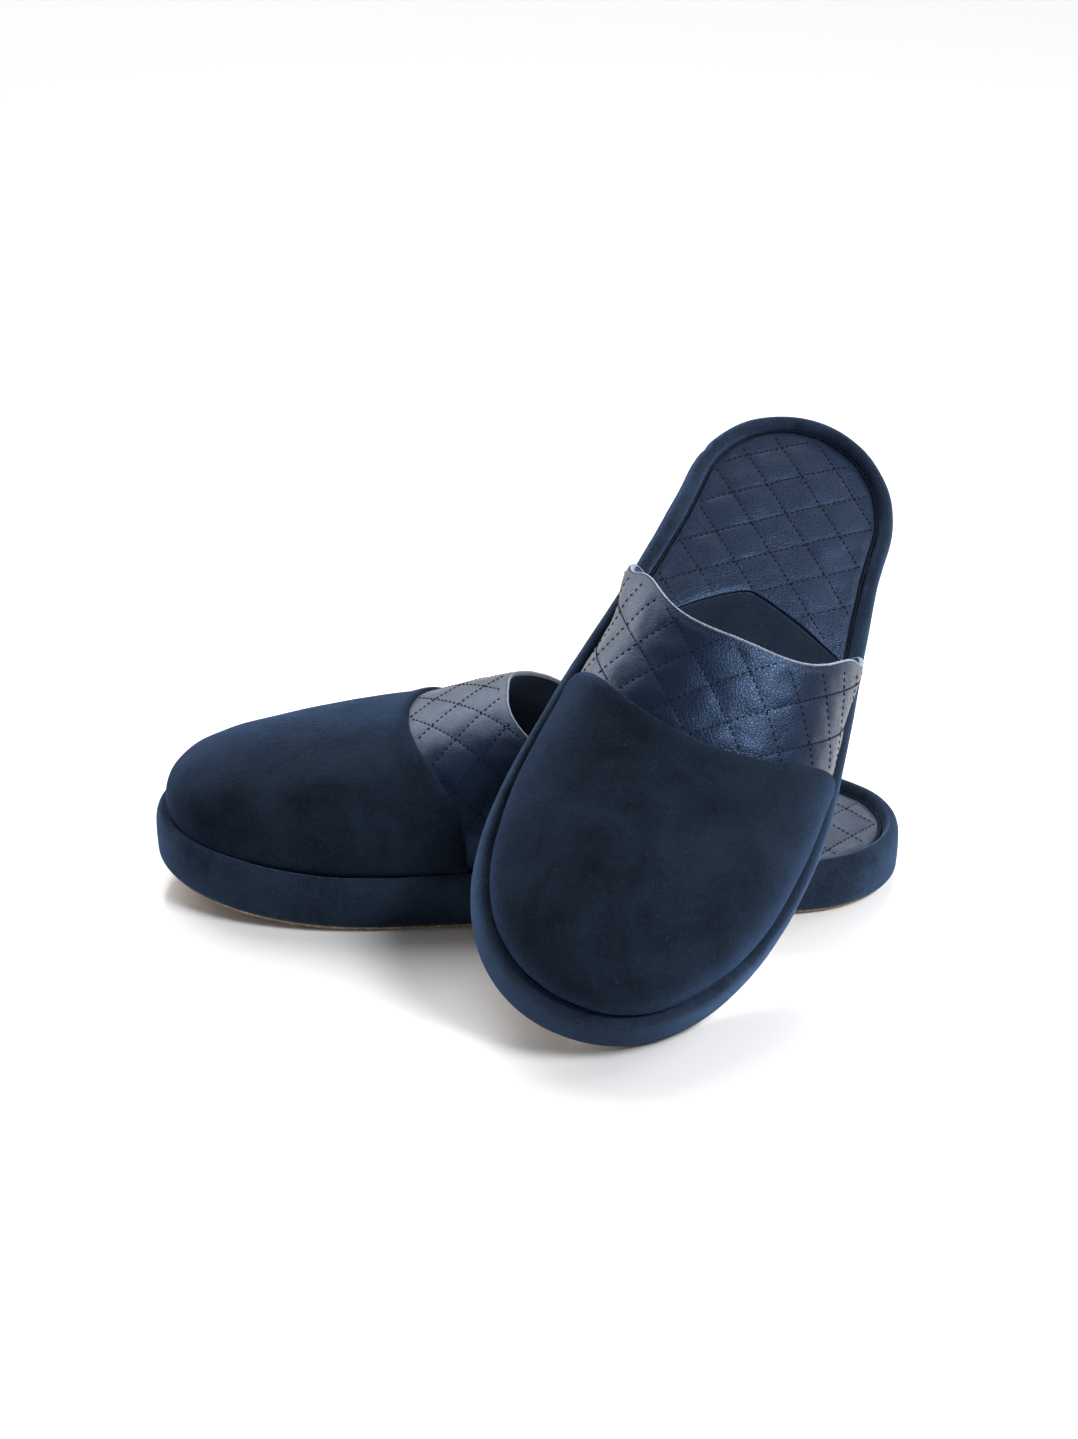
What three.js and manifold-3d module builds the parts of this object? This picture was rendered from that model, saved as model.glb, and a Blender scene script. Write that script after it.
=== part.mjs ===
// A pair of closed-toe spa slippers. The right one lies flat; the left one leans on it, toe down.
// Each slipper is built in its own frame, in millimetres: x runs from the back of the heel to the
// toe, y to the wearer's left and z up from the tread. "Inset" is a distance inward from the
// widest outline of the sole, and "depth" a distance inward from the band's outer face.

import * as THREE from 'three';
import { mergeVertices } from 'three/addons/utils/BufferGeometryUtils.js';
import Module from 'manifold-3d';

const wasm = await Module();
wasm.setup();

// ---- Driving dimensions ------------------------------------------------------------------

const GAP = 0.3; // clearance between pieces that touch

// Outline of the right sole, seen from above
const LENGTH = 285;
const HEEL_HALF_WIDTH = 41.8;
const HEEL_STATION = 48; // from the back of the heel to the widest part of the heel
const INNER_BALL = { halfWidth: 58, toToe: 76 }; // big-toe side, and its distance to the toe
const OUTER_BALL = { halfWidth: 56, toToe: 108 };
const TOE_OFFSET = 7.4; // the toe's tip lies towards the big toe
const HEEL_ROUND = 0.56; // handle lengths of the outline's curves
const SIDE_ROUND = 0.23;
const TOE_ROUND = 0.6;
const TOE_SPRING = { length: 91, height: 9.2 }; // how far from the toe the sole curls up, and how much

// Sole: tread, padded platform and its fabric cover with a rolled rim
const OUTSOLE = { thickness: 2, inset: 2.5, chamfer: 0.5 };
const COVER_THICKNESS = 1.2;
const COVER_FLANGE = 14; // how far the cover turns in under the platform
const COVER_CORNER = { inset: 1.8, height: 1.2 }; // its bevelled lower edge
const RIM_HEIGHT = 21.5;
const RIM_WIDTH = 6.2;
const RIM_RISE = 6; // height of the rim's rounded top
const RECESS_DEPTH = 9; // from the rim's top to the floor that the footbed lies on

// Footbed
const BOARD_THICKNESS = 1.2;
const FOAM_THICKNESS = 3;
const SOCK_THICKNESS = 1;
const CROWN = { height: 0.9, flatEdge: 15.5, top: 24 }; // insets where the padded crown starts and ends
const ARCH = { apex: 90, offset: 2, innerSweep: 43, outerSweep: 14, power: 1.3 }; // heel sock's front edge
const THREAD_DIAMETER = 0.8;

// Upper: toe cover, quilted band, padding, lining and edge binding
const RIM_OVERHANG = 0.7; // how far the band bulges out over the rim's inner edge
const EQUATOR = 2.5; // height above the rim where the upper is widest
const TUCKS = [{ inward: 0.5, share: 0.25 }, { inward: 1.5, share: 0.6 }, { inward: 2.4, share: 1 }];
const FULLNESS = 2.175; // 2 is an ellipse, more is boxier
const SEAM = { height: 63, toToe: 97, sweep: 24.4 }; // ridge height, distance to toe, sweep of the sides
const TOPLINE = { height: 74, toToe: 134, sweep: 47, power: 3.86 };
const TOE_RISE = { power: 2.49, straight: 0.36 }; // roundness and share of straight slope in the toe
const TOE_COVER_THICKNESS = 1.2;
const BAND_THICKNESS = 1;
const BAND_UNDERLAP = 8; // how far the band runs on under the toe cover
const PADDING_THICKNESS = 2.4;
const LINING_THICKNESS = 0.9;
const BINDING_WIDTH = 0.9;

// Resting place of the pair
const TOE_PLACE = { x: -130.5, y: -132.3 }; // left toe, from the back of the right heel
const LEAN_AXIS = 17.8; // degrees, direction of the level line across the leaning sole
const LEAN_HEADING = -106.5; // degrees, direction of the left slipper's toe before it leans
const RESTING_GAP = 0.5; // between the left tread and the right slipper under it

// ---- Outline ---------------------------------------------------------------------------

const CURVE_STEPS = 6;
const SIDE_STEPS = 3 * CURVE_STEPS;
const RING_POINTS = 2 * SIDE_STEPS;

// One side of the outline from heel to toe, as points with unit normals that face inward.
function outlineSide(side) {
  const ball = side > 0 ? INNER_BALL : OUTER_BALL;
  const ballX = LENGTH - ball.toToe;
  const heelY = side * HEEL_HALF_WIDTH;
  const ballY = side * ball.halfWidth;
  const sideHandle = SIDE_ROUND * (ballX - HEEL_STATION);
  const curves = [
    [[0, 0], [0, HEEL_ROUND * heelY], [HEEL_STATION * (1 - HEEL_ROUND), heelY], [HEEL_STATION, heelY]],
    [[HEEL_STATION, heelY], [HEEL_STATION + sideHandle, heelY], [ballX - sideHandle, ballY], [ballX, ballY]],
    [
      [ballX, ballY],
      [ballX + TOE_ROUND * ball.toToe, ballY],
      [LENGTH, TOE_OFFSET + TOE_ROUND * (ballY - TOE_OFFSET)],
      [LENGTH, TOE_OFFSET],
    ],
  ].map((points) => points.map(([x, y]) => new THREE.Vector2(x, y)));
  return Array.from({ length: SIDE_STEPS + 1 }, (_, step) => {
    const part = Math.min(Math.floor(step / CURVE_STEPS), curves.length - 1);
    const [a, b, c, d] = curves[part];
    const t = step / CURVE_STEPS - part;
    const slope = new THREE.QuadraticBezierCurve(b.clone().sub(a), c.clone().sub(b), d.clone().sub(c));
    const along = slope.getPoint(t).normalize();
    const inward = new THREE.Vector2(side * along.y, -side * along.x);
    return { point: new THREE.CubicBezierCurve(a, b, c, d).getPoint(t), inward };
  });
}

const outlineSides = { inner: outlineSide(1), outer: outlineSide(-1) };

function insetSide(side, inset) {
  return outlineSides[side].map(({ point, inward }) => point.clone().addScaledVector(inward, inset));
}

// Height that the toe spring adds at x.
function spring(x) {
  const reach = Math.max(0, (x - LENGTH + TOE_SPRING.length) / TOE_SPRING.length);
  return TOE_SPRING.height * reach ** 2;
}

// Closed ring of points at one inset and height: heel, big-toe side, toe, little-toe side.
function ring(inset, z) {
  const outer = insetSide('outer', inset).slice(1, -1).reverse();
  return [...insetSide('inner', inset), ...outer].map((p) => new THREE.Vector3(p.x, p.y, z + spring(p.x)));
}

// y of one side of the outline at x.
function sideAt(side, x, inset) {
  const points = insetSide(side, inset);
  const beyond = points.findIndex((p) => p.x >= x);
  const next = beyond < 0 ? points.length - 1 : Math.max(beyond, 1);
  const from = points[next - 1];
  const to = points[next];
  const share = to.x > from.x ? THREE.MathUtils.clamp((x - from.x) / (to.x - from.x), 0, 1) : 0;
  return THREE.MathUtils.lerp(from.y, to.y, share);
}

// ---- Solids ----------------------------------------------------------------------------

// Closed body from points and triangles: shared corners merged, empty triangles dropped,
// faces turned outward.
function solid(points, triangles) {
  const raw = new THREE.BufferGeometry().setFromPoints(triangles.flat().map((corner) => points[corner]));
  const geometry = mergeVertices(raw, 1e-4);
  const index = geometry.index.array;
  const kept = [];
  for (let i = 0; i < index.length; i += 3) {
    const [a, b, c] = index.slice(i, i + 3);
    if (a !== b && b !== c && c !== a) kept.push(a, b, c);
  }
  geometry.setIndex(kept);
  return volume(geometry) < 0 ? turned(geometry) : geometry;
}

function corners(geometry) {
  const position = geometry.attributes.position;
  return Array.from({ length: position.count }, (_, i) => new THREE.Vector3().fromBufferAttribute(position, i));
}

function volume(geometry) {
  const points = corners(geometry);
  const index = geometry.index.array;
  let sum = 0;
  for (let i = 0; i < index.length; i += 3) {
    sum += points[index[i]].dot(points[index[i + 1]].clone().cross(points[index[i + 2]])) / 6;
  }
  return sum;
}

function turned(geometry) {
  const index = Array.from(geometry.index.array);
  for (let i = 0; i < index.length; i += 3) [index[i], index[i + 1]] = [index[i + 1], index[i]];
  return geometry.clone().setIndex(index);
}

function mirrored(geometry) {
  return turned(geometry.clone().scale(1, -1, 1));
}

// Two triangles between neighbouring points of two rows.
function quad(a, b, c, d) {
  return [[a, b, c], [a, c, d]];
}

// Body through rings of the sole's outline, closed at both ends by left-to-right strips.
function stack(profile) {
  const points = profile.flatMap(([inset, z]) => ring(inset, z));
  const triangles = wall(profile.length - 1, (row) => row + 1);
  for (const [start, flip] of [[0, false], [(profile.length - 1) * RING_POINTS, true]]) {
    for (let i = 0; i < SIDE_STEPS; i += 1) {
      const left = [start + i, start + i + 1];
      const right = [start + ((RING_POINTS - i) % RING_POINTS), start + RING_POINTS - i - 1];
      const strip = quad(left[0], left[1], right[1], right[0]);
      triangles.push(...(flip ? strip.map(([a, b, c]) => [b, a, c]) : strip));
    }
  }
  return solid(points, triangles);
}

// Hoop whose section is a closed profile carried round the outline.
function hoop(profile) {
  const points = profile.flatMap(([inset, z]) => ring(inset, z));
  return solid(points, wall(profile.length, (row) => (row + 1) % profile.length));
}

function wall(rows, nextRow) {
  const triangles = [];
  for (let row = 0; row < rows; row += 1) {
    const here = row * RING_POINTS;
    const above = nextRow(row) * RING_POINTS;
    for (let i = 0; i < RING_POINTS; i += 1) {
      const next = (i + 1) % RING_POINTS;
      triangles.push(...quad(here + next, here + i, above + i, above + next));
    }
  }
  return triangles;
}

function toManifold(geometry) {
  return new wasm.Manifold(new wasm.Mesh({
    numProp: 3,
    vertProperties: new Float32Array(geometry.attributes.position.array),
    triVerts: new Uint32Array(geometry.index.array),
  }));
}

function fromManifold(body) {
  const mesh = body.getMesh();
  const geometry = new THREE.BufferGeometry();
  geometry.setAttribute('position', new THREE.BufferAttribute(mesh.vertProperties, 3));
  return geometry.setIndex(new THREE.BufferAttribute(mesh.triVerts, 1));
}

// ---- Sole and footbed --------------------------------------------------------------------

const COVER_BASE = OUTSOLE.thickness + GAP;
const ROLL_BASE = RIM_HEIGHT - RIM_RISE;
const ROLL_STEPS = 4;

// Section of the cover's outer face, or of a face that lies the given distance inside it:
// in under the platform, round the lower edge, up the side, over the rim and down inside it.
function coverSection(within) {
  const roll = Array.from({ length: ROLL_STEPS + 1 }, (_, step) => {
    const angle = (Math.PI * step) / ROLL_STEPS;
    const half = RIM_WIDTH / 2;
    return [half - (half - within) * Math.cos(angle), ROLL_BASE + (RIM_RISE - within) * Math.sin(angle)];
  });
  return [
    [COVER_FLANGE, COVER_BASE + within],
    [COVER_CORNER.inset + within / 2, COVER_BASE + within],
    [within, COVER_BASE + COVER_CORNER.height + within / 2],
    ...roll,
  ];
}

function outsole() {
  const { inset, thickness, chamfer } = OUTSOLE;
  return stack([[inset + chamfer, 0], [inset, chamfer], [inset, thickness]]);
}

function platformCover() {
  return hoop([...coverSection(0), ...coverSection(COVER_THICKNESS).reverse()]);
}

const RECESS_FLOOR = RIM_HEIGHT - RECESS_DEPTH;
const BOARD_BASE = RECESS_FLOOR + GAP;
const FOAM_BASE = BOARD_BASE + BOARD_THICKNESS + GAP;
const SOCK_BASE = FOAM_BASE + FOAM_THICKNESS + GAP;
const SOCK_TOP = SOCK_BASE + SOCK_THICKNESS;
const FOOTBED_INSET = RIM_WIDTH + GAP;
const THREAD_INSET = FOOTBED_INSET + THREAD_DIAMETER / 2;
const SOCK_INSET = THREAD_INSET + THREAD_DIAMETER / 2 + GAP;

function platform() {
  const within = COVER_THICKNESS + GAP;
  return stack([...coverSection(within).slice(1), [RIM_WIDTH - within, RECESS_FLOOR]]);
}

function insoleBoard() {
  return stack([[FOOTBED_INSET, BOARD_BASE], [FOOTBED_INSET, BOARD_BASE + BOARD_THICKNESS]]);
}

function crowned(z) {
  return [[CROWN.flatEdge, z], [CROWN.top, z + CROWN.height]];
}

function footbedFoam() {
  const top = FOAM_BASE + FOAM_THICKNESS;
  return stack([[FOOTBED_INSET, FOAM_BASE], [FOOTBED_INSET, top], ...crowned(top)]);
}

// Prism over the front of the footbed, behind it the heel sock's arched edge.
function archPrism(shift) {
  const reach = Math.max(INNER_BALL.halfWidth, OUTER_BALL.halfWidth);
  const edge = [];
  for (let y = -reach; y <= reach; y += reach / 12) {
    const sweep = y > ARCH.offset ? ARCH.innerSweep : ARCH.outerSweep;
    const x = ARCH.apex + sweep * (Math.abs(y - ARCH.offset) / HEEL_HALF_WIDTH) ** ARCH.power;
    edge.push(new THREE.Vector2(x + shift, y));
  }
  const front = LENGTH + reach;
  const shape = new THREE.Shape([...edge, new THREE.Vector2(front, reach), new THREE.Vector2(front, -reach)]);
  const prism = new THREE.ExtrudeGeometry(shape, { depth: RIM_HEIGHT + TOE_SPRING.height, bevelEnabled: false });
  prism.deleteAttribute('normal');
  prism.deleteAttribute('uv');
  return toManifold(mergeVertices(prism));
}

function wholeSock() {
  const under = [[SOCK_INSET, SOCK_BASE], ...crowned(SOCK_BASE)].reverse();
  return toManifold(stack([...under, [SOCK_INSET, SOCK_TOP], ...crowned(SOCK_TOP)]));
}

function heelSock() {
  return fromManifold(wholeSock().subtract(archPrism(-2 * GAP)));
}

function toeSock() {
  return fromManifold(wholeSock().intersect(archPrism(0)));
}

function seamThread() {
  const sides = 5;
  const radius = THREAD_DIAMETER / 2;
  const section = Array.from({ length: sides }, (_, i) => {
    const angle = (2 * Math.PI * i) / sides;
    return [THREAD_INSET + radius * Math.cos(angle), SOCK_BASE + radius + radius * Math.sin(angle)];
  });
  return hoop(section);
}

// ---- Upper -------------------------------------------------------------------------------

const UPPER_INSET = RIM_WIDTH - RIM_OVERHANG;
const EQUATOR_Z = RIM_HEIGHT + EQUATOR;
const UPPER_FOOT = SOCK_TOP + GAP; // lowest edge of every layer of the upper
const ANGLE_STEPS = 14;

// Rows across the upper: up out of the groove on one side, over the foot, down the other.
const rows = [
  ...TUCKS.map((tuck) => ({ angle: 0, tuck })).reverse(),
  ...Array.from({ length: ANGLE_STEPS + 1 }, (_, i) => ({ angle: (Math.PI * i) / ANGLE_STEPS, tuck: null })),
  ...TUCKS.map((tuck) => ({ angle: Math.PI, tuck })),
];

function toplineX(angle) {
  return LENGTH - TOPLINE.toToe - TOPLINE.sweep * Math.abs(Math.cos(angle)) ** TOPLINE.power;
}

function seamX(angle) {
  return LENGTH - SEAM.toToe - SEAM.sweep * Math.cos(angle) ** 2;
}

// Height of the ridge above the equator at x, for a face at the given depth.
function ridge(x, depth) {
  const seam = LENGTH - SEAM.toToe;
  const toe = LENGTH - UPPER_INSET - depth;
  const share = THREE.MathUtils.clamp((toe - x) / (toe - seam), 0, 1);
  const round = (1 - (1 - share) ** TOE_RISE.power) ** (1 / TOE_RISE.power);
  const rise = (1 - TOE_RISE.straight) * round + TOE_RISE.straight * share;
  const slope = (TOPLINE.height - SEAM.height) / (TOPLINE.toToe - SEAM.toToe);
  return rise * (SEAM.height - EQUATOR_Z - depth) + slope * Math.max(0, seam - x);
}

// Stations along the upper. Each gives x for a row's angle and the inset of the face.
const TOE_SPAN = SEAM.toToe - UPPER_INSET;

function bandStation(share) {
  return (angle) => THREE.MathUtils.lerp(toplineX(angle), seamX(angle), share);
}

function toeStation(share) {
  return (angle, inset) => seamX(angle) + (LENGTH - inset - seamX(angle)) * Math.sin((share * Math.PI) / 2);
}

const UNDERLAP_SHARE = (2 / Math.PI) * Math.asin(BAND_UNDERLAP / TOE_SPAN);
const bandStations = [0, 1 / 3, 2 / 3].map(bandStation);
const underlapStations = [0, UNDERLAP_SHARE].map(toeStation);
const toeStations = [0.12, 0.27, 0.43, 0.6, 0.77, 0.9, 1].map(toeStation);

function skinPoint(station, row, depth) {
  const inset = UPPER_INSET + depth + (row.tuck?.inward ?? 0);
  const x = station(row.angle, inset);
  const left = sideAt('inner', x, inset);
  const right = sideAt('outer', x, inset);
  const cos = Math.cos(row.angle);
  const sin = row.tuck ? 0 : Math.max(0, Math.sin(row.angle));
  const across = Math.sign(cos) * Math.abs(cos) ** (2 / FULLNESS);
  const y = (left + right) / 2 + (across * (left - right)) / 2;
  const height = ridge(x, depth) * sin ** (2 / FULLNESS);
  const drop = (row.tuck?.share ?? 0) * (EQUATOR_Z - UPPER_FOOT);
  return new THREE.Vector3(x, y, EQUATOR_Z + height - drop + spring(x));
}

// Layer of the upper between two depths at each station; it closes on itself where it
// reaches the toe.
function layer(sections) {
  const points = sections.flatMap(({ station, outer, inner }) => [
    ...rows.map((row) => skinPoint(station, row, outer)),
    ...rows.map((row) => skinPoint(station, row, inner)),
  ]);
  const width = rows.length;
  const closed = sections.at(-1).station === toeStations.at(-1);
  const triangles = [];
  for (let s = 0; s < sections.length - 1; s += 1) {
    const here = 2 * width * s;
    const next = here + 2 * width;
    for (let r = 0; r < width - 1; r += 1) {
      triangles.push(...quad(here + r, next + r, next + r + 1, here + r + 1));
      triangles.push(...quad(here + width + r, here + width + r + 1, next + width + r + 1, next + width + r));
    }
    triangles.push(...quad(here, here + width, next + width, next));
    triangles.push(...quad(here + width - 1, next + width - 1, next + 2 * width - 1, here + 2 * width - 1));
  }
  const last = 2 * width * (sections.length - 1);
  for (let r = 0; r < width - 1; r += 1) {
    triangles.push(...quad(r, r + 1, width + r + 1, width + r));
    if (!closed) triangles.push(...quad(last + r + 1, last + r, last + width + r, last + width + r + 1));
  }
  return solid(points, triangles);
}

const BAND_INNER = BAND_THICKNESS;
const COVER_INNER = -GAP;
const PADDING_OUTER = BAND_INNER + GAP;
const LINING_OUTER = PADDING_OUTER + PADDING_THICKNESS + GAP;

function sections(stations, outer, inner) {
  return stations.map((station) => ({ station, outer, inner }));
}

function toeCover() {
  return layer(sections([...underlapStations, ...toeStations], COVER_INNER - TOE_COVER_THICKNESS, COVER_INNER));
}

function quiltedBand() {
  return layer(sections([...bandStations, ...underlapStations], 0, BAND_INNER));
}

// The padding starts a third of the way down the band and fills up to the toe cover in front of it.
function vampPadding() {
  const inner = LINING_OUTER - GAP;
  return layer([
    ...sections([...bandStations.slice(1), ...underlapStations], PADDING_OUTER, inner),
    ...sections(toeStations, 0, inner),
  ]);
}

// The lining rises to the band where the padding ends.
function vampLining() {
  const edge = { station: bandStations[0], outer: PADDING_OUTER, inner: PADDING_OUTER + LINING_THICKNESS };
  const rest = [...bandStations.slice(1), ...underlapStations, ...toeStations];
  return layer([edge, ...sections(rest, LINING_OUTER, LINING_OUTER + LINING_THICKNESS)]);
}

function toplineBinding() {
  const back = [GAP + BINDING_WIDTH, GAP].map((step) => (angle) => toplineX(angle) - step);
  return layer(sections(back, 0, PADDING_OUTER + LINING_THICKNESS));
}

// ---- The pair ----------------------------------------------------------------------------

const NAVY_SUEDE = { color: 0x1d2740, roughness: 0.95, metalness: 0 };
const NAVY_LEATHER = { color: 0x1b2135, roughness: 0.45, metalness: 0 };
const LINING_BLUE = { color: 0x46567a, roughness: 0.95, metalness: 0 };
const EDGE_BLUE = { color: 0x8f9bb0, roughness: 0.7, metalness: 0 };
const TREAD_TAN = { color: 0xc9ae86, roughness: 0.8, metalness: 0 };
const FOAM_GREY = { color: 0x9a9a9a, roughness: 0.9, metalness: 0 };
const BOARD_BROWN = { color: 0x8a6f50, roughness: 0.9, metalness: 0 };

const pieces = [
  ['outsole', outsole(), TREAD_TAN],
  ['platform', platform(), FOAM_GREY],
  ['platform_cover', platformCover(), NAVY_SUEDE],
  ['insole_board', insoleBoard(), BOARD_BROWN],
  ['footbed_foam', footbedFoam(), FOAM_GREY],
  ['heel_sock', heelSock(), NAVY_LEATHER],
  ['toe_sock', toeSock(), NAVY_SUEDE],
  ['seam_thread', seamThread(), NAVY_LEATHER],
  ['toe_cover', toeCover(), NAVY_SUEDE],
  ['quilted_band', quiltedBand(), NAVY_LEATHER],
  ['vamp_padding', vampPadding(), FOAM_GREY],
  ['vamp_lining', vampLining(), LINING_BLUE],
  ['topline_binding', toplineBinding(), EDGE_BLUE],
];

function slipper(prefix, shape) {
  const group = new THREE.Group();
  for (const [name, geometry, finish] of pieces) {
    const mesh = new THREE.Mesh(shape(geometry), new THREE.MeshStandardMaterial(finish));
    mesh.name = `${prefix}_${name}`;
    group.add(mesh);
  }
  return group;
}

const right = slipper('right', (geometry) => geometry);
const left = slipper('left', mirrored);
right.rotation.z = Math.PI;
right.updateMatrix();
const leftCorners = left.children.flatMap((mesh) => corners(mesh.geometry));

// Puts the left slipper at a tilt, its toe in place and its lowest corner on the floor.
function lean(tilt) {
  const axis = THREE.MathUtils.degToRad(LEAN_AXIS);
  left.quaternion
    .setFromAxisAngle(new THREE.Vector3(Math.cos(axis), Math.sin(axis), 0), tilt)
    .multiply(new THREE.Quaternion().setFromAxisAngle(
      new THREE.Vector3(0, 0, 1),
      THREE.MathUtils.degToRad(LEAN_HEADING),
    ));
  const turn = (p) => p.clone().applyQuaternion(left.quaternion);
  const toe = turn(new THREE.Vector3(LENGTH, -TOE_OFFSET, TOE_SPRING.height));
  const floor = Math.min(...leftCorners.map((p) => turn(p).z));
  left.position.set(TOE_PLACE.x - toe.x, TOE_PLACE.y - toe.y, -floor);
  left.updateMatrix();
}

function joined(group) {
  return wasm.Manifold.union(group.children.map((mesh) => toManifold(mesh.geometry)));
}

// The left slipper leans as low as the right one under it allows.
function restingTilt() {
  const support = joined(right).transform(right.matrix.elements);
  const leaning = joined(left);
  let low = THREE.MathUtils.degToRad(10);
  let high = THREE.MathUtils.degToRad(70);
  for (let step = 0; step < 24; step += 1) {
    const tilt = (low + high) / 2;
    lean(tilt);
    const gap = leaning.transform(left.matrix.elements).minGap(support, 2 * RESTING_GAP);
    if (gap < RESTING_GAP) low = tilt;
    else high = tilt;
  }
  return high;
}

lean(restingTilt());

const pair = new THREE.Group();
pair.add(right, left);
const bounds = new THREE.Box3().setFromObject(pair, true);
const middle = bounds.getCenter(new THREE.Vector3());
pair.position.set(-middle.x, -middle.y, -bounds.min.z);

const slippers = new THREE.Group();
slippers.add(pair);

export default slippers;
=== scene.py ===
# %% [markdown]
# # A pair of padded spa slippers
# The CAD model says where both slippers lie and how big each piece is. This notebook makes the
# surfaces you see: brushed velour, quilted leather, stitches, rolled edges and a thin pale
# binding. We draw one slipper in its own millimetres, with x from heel to toe, y towards the big
# toe and z up from the tread, and then lay it twice into the room, once mirrored.

# %% Load the frame
import math

import bpy
import numpy as np
from mathutils import Matrix, Vector, noise


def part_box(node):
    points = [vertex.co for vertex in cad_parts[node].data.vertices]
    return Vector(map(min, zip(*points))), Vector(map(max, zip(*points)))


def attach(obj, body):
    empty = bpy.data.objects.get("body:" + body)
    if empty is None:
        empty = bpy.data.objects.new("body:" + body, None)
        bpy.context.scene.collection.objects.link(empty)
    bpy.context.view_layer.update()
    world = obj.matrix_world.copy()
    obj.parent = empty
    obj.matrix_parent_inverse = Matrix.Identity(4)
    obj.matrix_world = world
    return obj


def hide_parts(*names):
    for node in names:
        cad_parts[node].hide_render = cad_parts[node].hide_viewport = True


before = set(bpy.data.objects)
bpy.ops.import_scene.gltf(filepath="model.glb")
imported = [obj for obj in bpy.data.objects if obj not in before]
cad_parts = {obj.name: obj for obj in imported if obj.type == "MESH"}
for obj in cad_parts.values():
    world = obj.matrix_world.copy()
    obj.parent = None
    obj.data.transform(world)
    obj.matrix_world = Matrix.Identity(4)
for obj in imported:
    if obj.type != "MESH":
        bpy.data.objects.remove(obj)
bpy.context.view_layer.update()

# %% [markdown]
# ## Sizes
# A slipper maker starts from a last and a pattern. These are the pattern's numbers, in
# millimetres, and they are the ones the CAD model was built from. Insets are measured inward from
# the widest outline of the sole, and depths inward from the outside of the quilted band.

# %% Pattern sizes
MM = 0.001
LENGTH = 285
HEEL_HALF_WIDTH = 41.8
HEEL_STATION = 48
BALL = {"inner": (58, 76), "outer": (56, 108)}  # half width, and distance back from the toe
TOE_OFFSET = 7.4
HEEL_ROUND, SIDE_ROUND, TOE_ROUND = 0.56, 0.23, 0.6
SPRING_LENGTH, SPRING_HEIGHT = 91, 9.2

TREAD_THICKNESS, TREAD_INSET = 2.0, 2.5
RIM_HEIGHT, RIM_WIDTH, RIM_RISE = 21.5, 6.2, 6.0
COVER_THICKNESS = 1.2
SOCK_INSET, SOCK_BASE, SOCK_TOP = 7.4, 17.6, 18.6
CROWN_HEIGHT, CROWN_START, CROWN_END = 0.9, 10, 26
ARCH_APEX, ARCH_OFFSET, ARCH_POWER = 90, 2, 1.3
ARCH_SWEEP = {"inner": 43, "outer": 14}

UPPER_INSET, EQUATOR, UPPER_FOOT = 5.5, 24.0, 18.9
FULLNESS = 2.175
SEAM_HEIGHT, SEAM_TO_TOE, SEAM_SWEEP = 63, 97, 24.4
TOPLINE_HEIGHT, TOPLINE_TO_TOE = 74, 134
# How far back the opening reaches and how suddenly, at its sides and at their very ends.
TOPLINE_SWEEP, TOPLINE_END = (41, 3.0), (19, 26)
SHOULDER_BACK = 26  # reach back of the corner where the sides turn down to the sole
TOE_RISE_POWER, TOE_STRAIGHT = 2.49, 0.36
print("sole", LENGTH, "mm long,", 2 * HEEL_HALF_WIDTH, "mm wide at the heel")

# %% [markdown]
# ## The outline of the sole
# A sole is cut from a flat pattern, rounder at the heel and wider at the ball of the foot. We could
# draw it as a Blender curve, but several pieces need the same outline a little further in, so plain
# numbers are handier. Each side is three cubic curves joined smoothly: round the heel, along the
# waist, and round the toe. With each point we keep the direction that faces inward.

# %% Outline curves
FINE_STEPS = 26
CAD_STEPS = 6


def bezier(a, b, c, d, t):
    """Points and directions along a cubic curve."""
    a, b, c, d = (np.array(p, float) for p in (a, b, c, d))
    t = t[:, None]
    s = 1 - t
    point = s**3 * a + 3 * s**2 * t * b + 3 * s * t**2 * c + t**3 * d
    along = s**2 * (b - a) + 2 * s * t * (c - b) + t**2 * (d - c)
    return point, along / np.linalg.norm(along, axis=1, keepdims=True)


def outline_side(side, steps):
    """One side from heel to toe: points and unit vectors that face inward."""
    sign = 1 if side == "inner" else -1
    half, to_toe = BALL[side]
    ball_x, heel_y, ball_y = LENGTH - to_toe, sign * HEEL_HALF_WIDTH, sign * half
    handle = SIDE_ROUND * (ball_x - HEEL_STATION)
    heel = [(0, 0), (0, HEEL_ROUND * heel_y),
            (HEEL_STATION * (1 - HEEL_ROUND), heel_y), (HEEL_STATION, heel_y)]
    waist = [heel[3], (HEEL_STATION + handle, heel_y), (ball_x - handle, ball_y), (ball_x, ball_y)]
    toe_y = TOE_OFFSET + TOE_ROUND * (ball_y - TOE_OFFSET)
    toe = [waist[3], (ball_x + TOE_ROUND * to_toe, ball_y), (LENGTH, toe_y), (LENGTH, TOE_OFFSET)]
    points, inward = [], []
    for corners in (heel, waist, toe):
        last = corners is toe
        t = np.linspace(0, 1, steps + 1)[: None if last else -1]
        point, along = bezier(*corners, t)
        points.append(point)
        inward.append(sign * np.stack([along[:, 1], -along[:, 0]], axis=1))
    return np.concatenate(points), np.concatenate(inward)


FINE = {side: outline_side(side, FINE_STEPS) for side in BALL}
print("points on the inner side:", len(FINE["inner"][0]))

# %% [markdown]
# The toe of the sole curls up a little, which shoemakers call toe spring. With the outline and the
# spring we can draw a ring at any inset and height, for the tread, the rim or the footbed.

# %% Rings
def spring(x):
    """Height that the curled-up toe adds at x."""
    reach = np.clip((x - LENGTH + SPRING_LENGTH) / SPRING_LENGTH, 0, None)
    return SPRING_HEIGHT * reach**2


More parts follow.
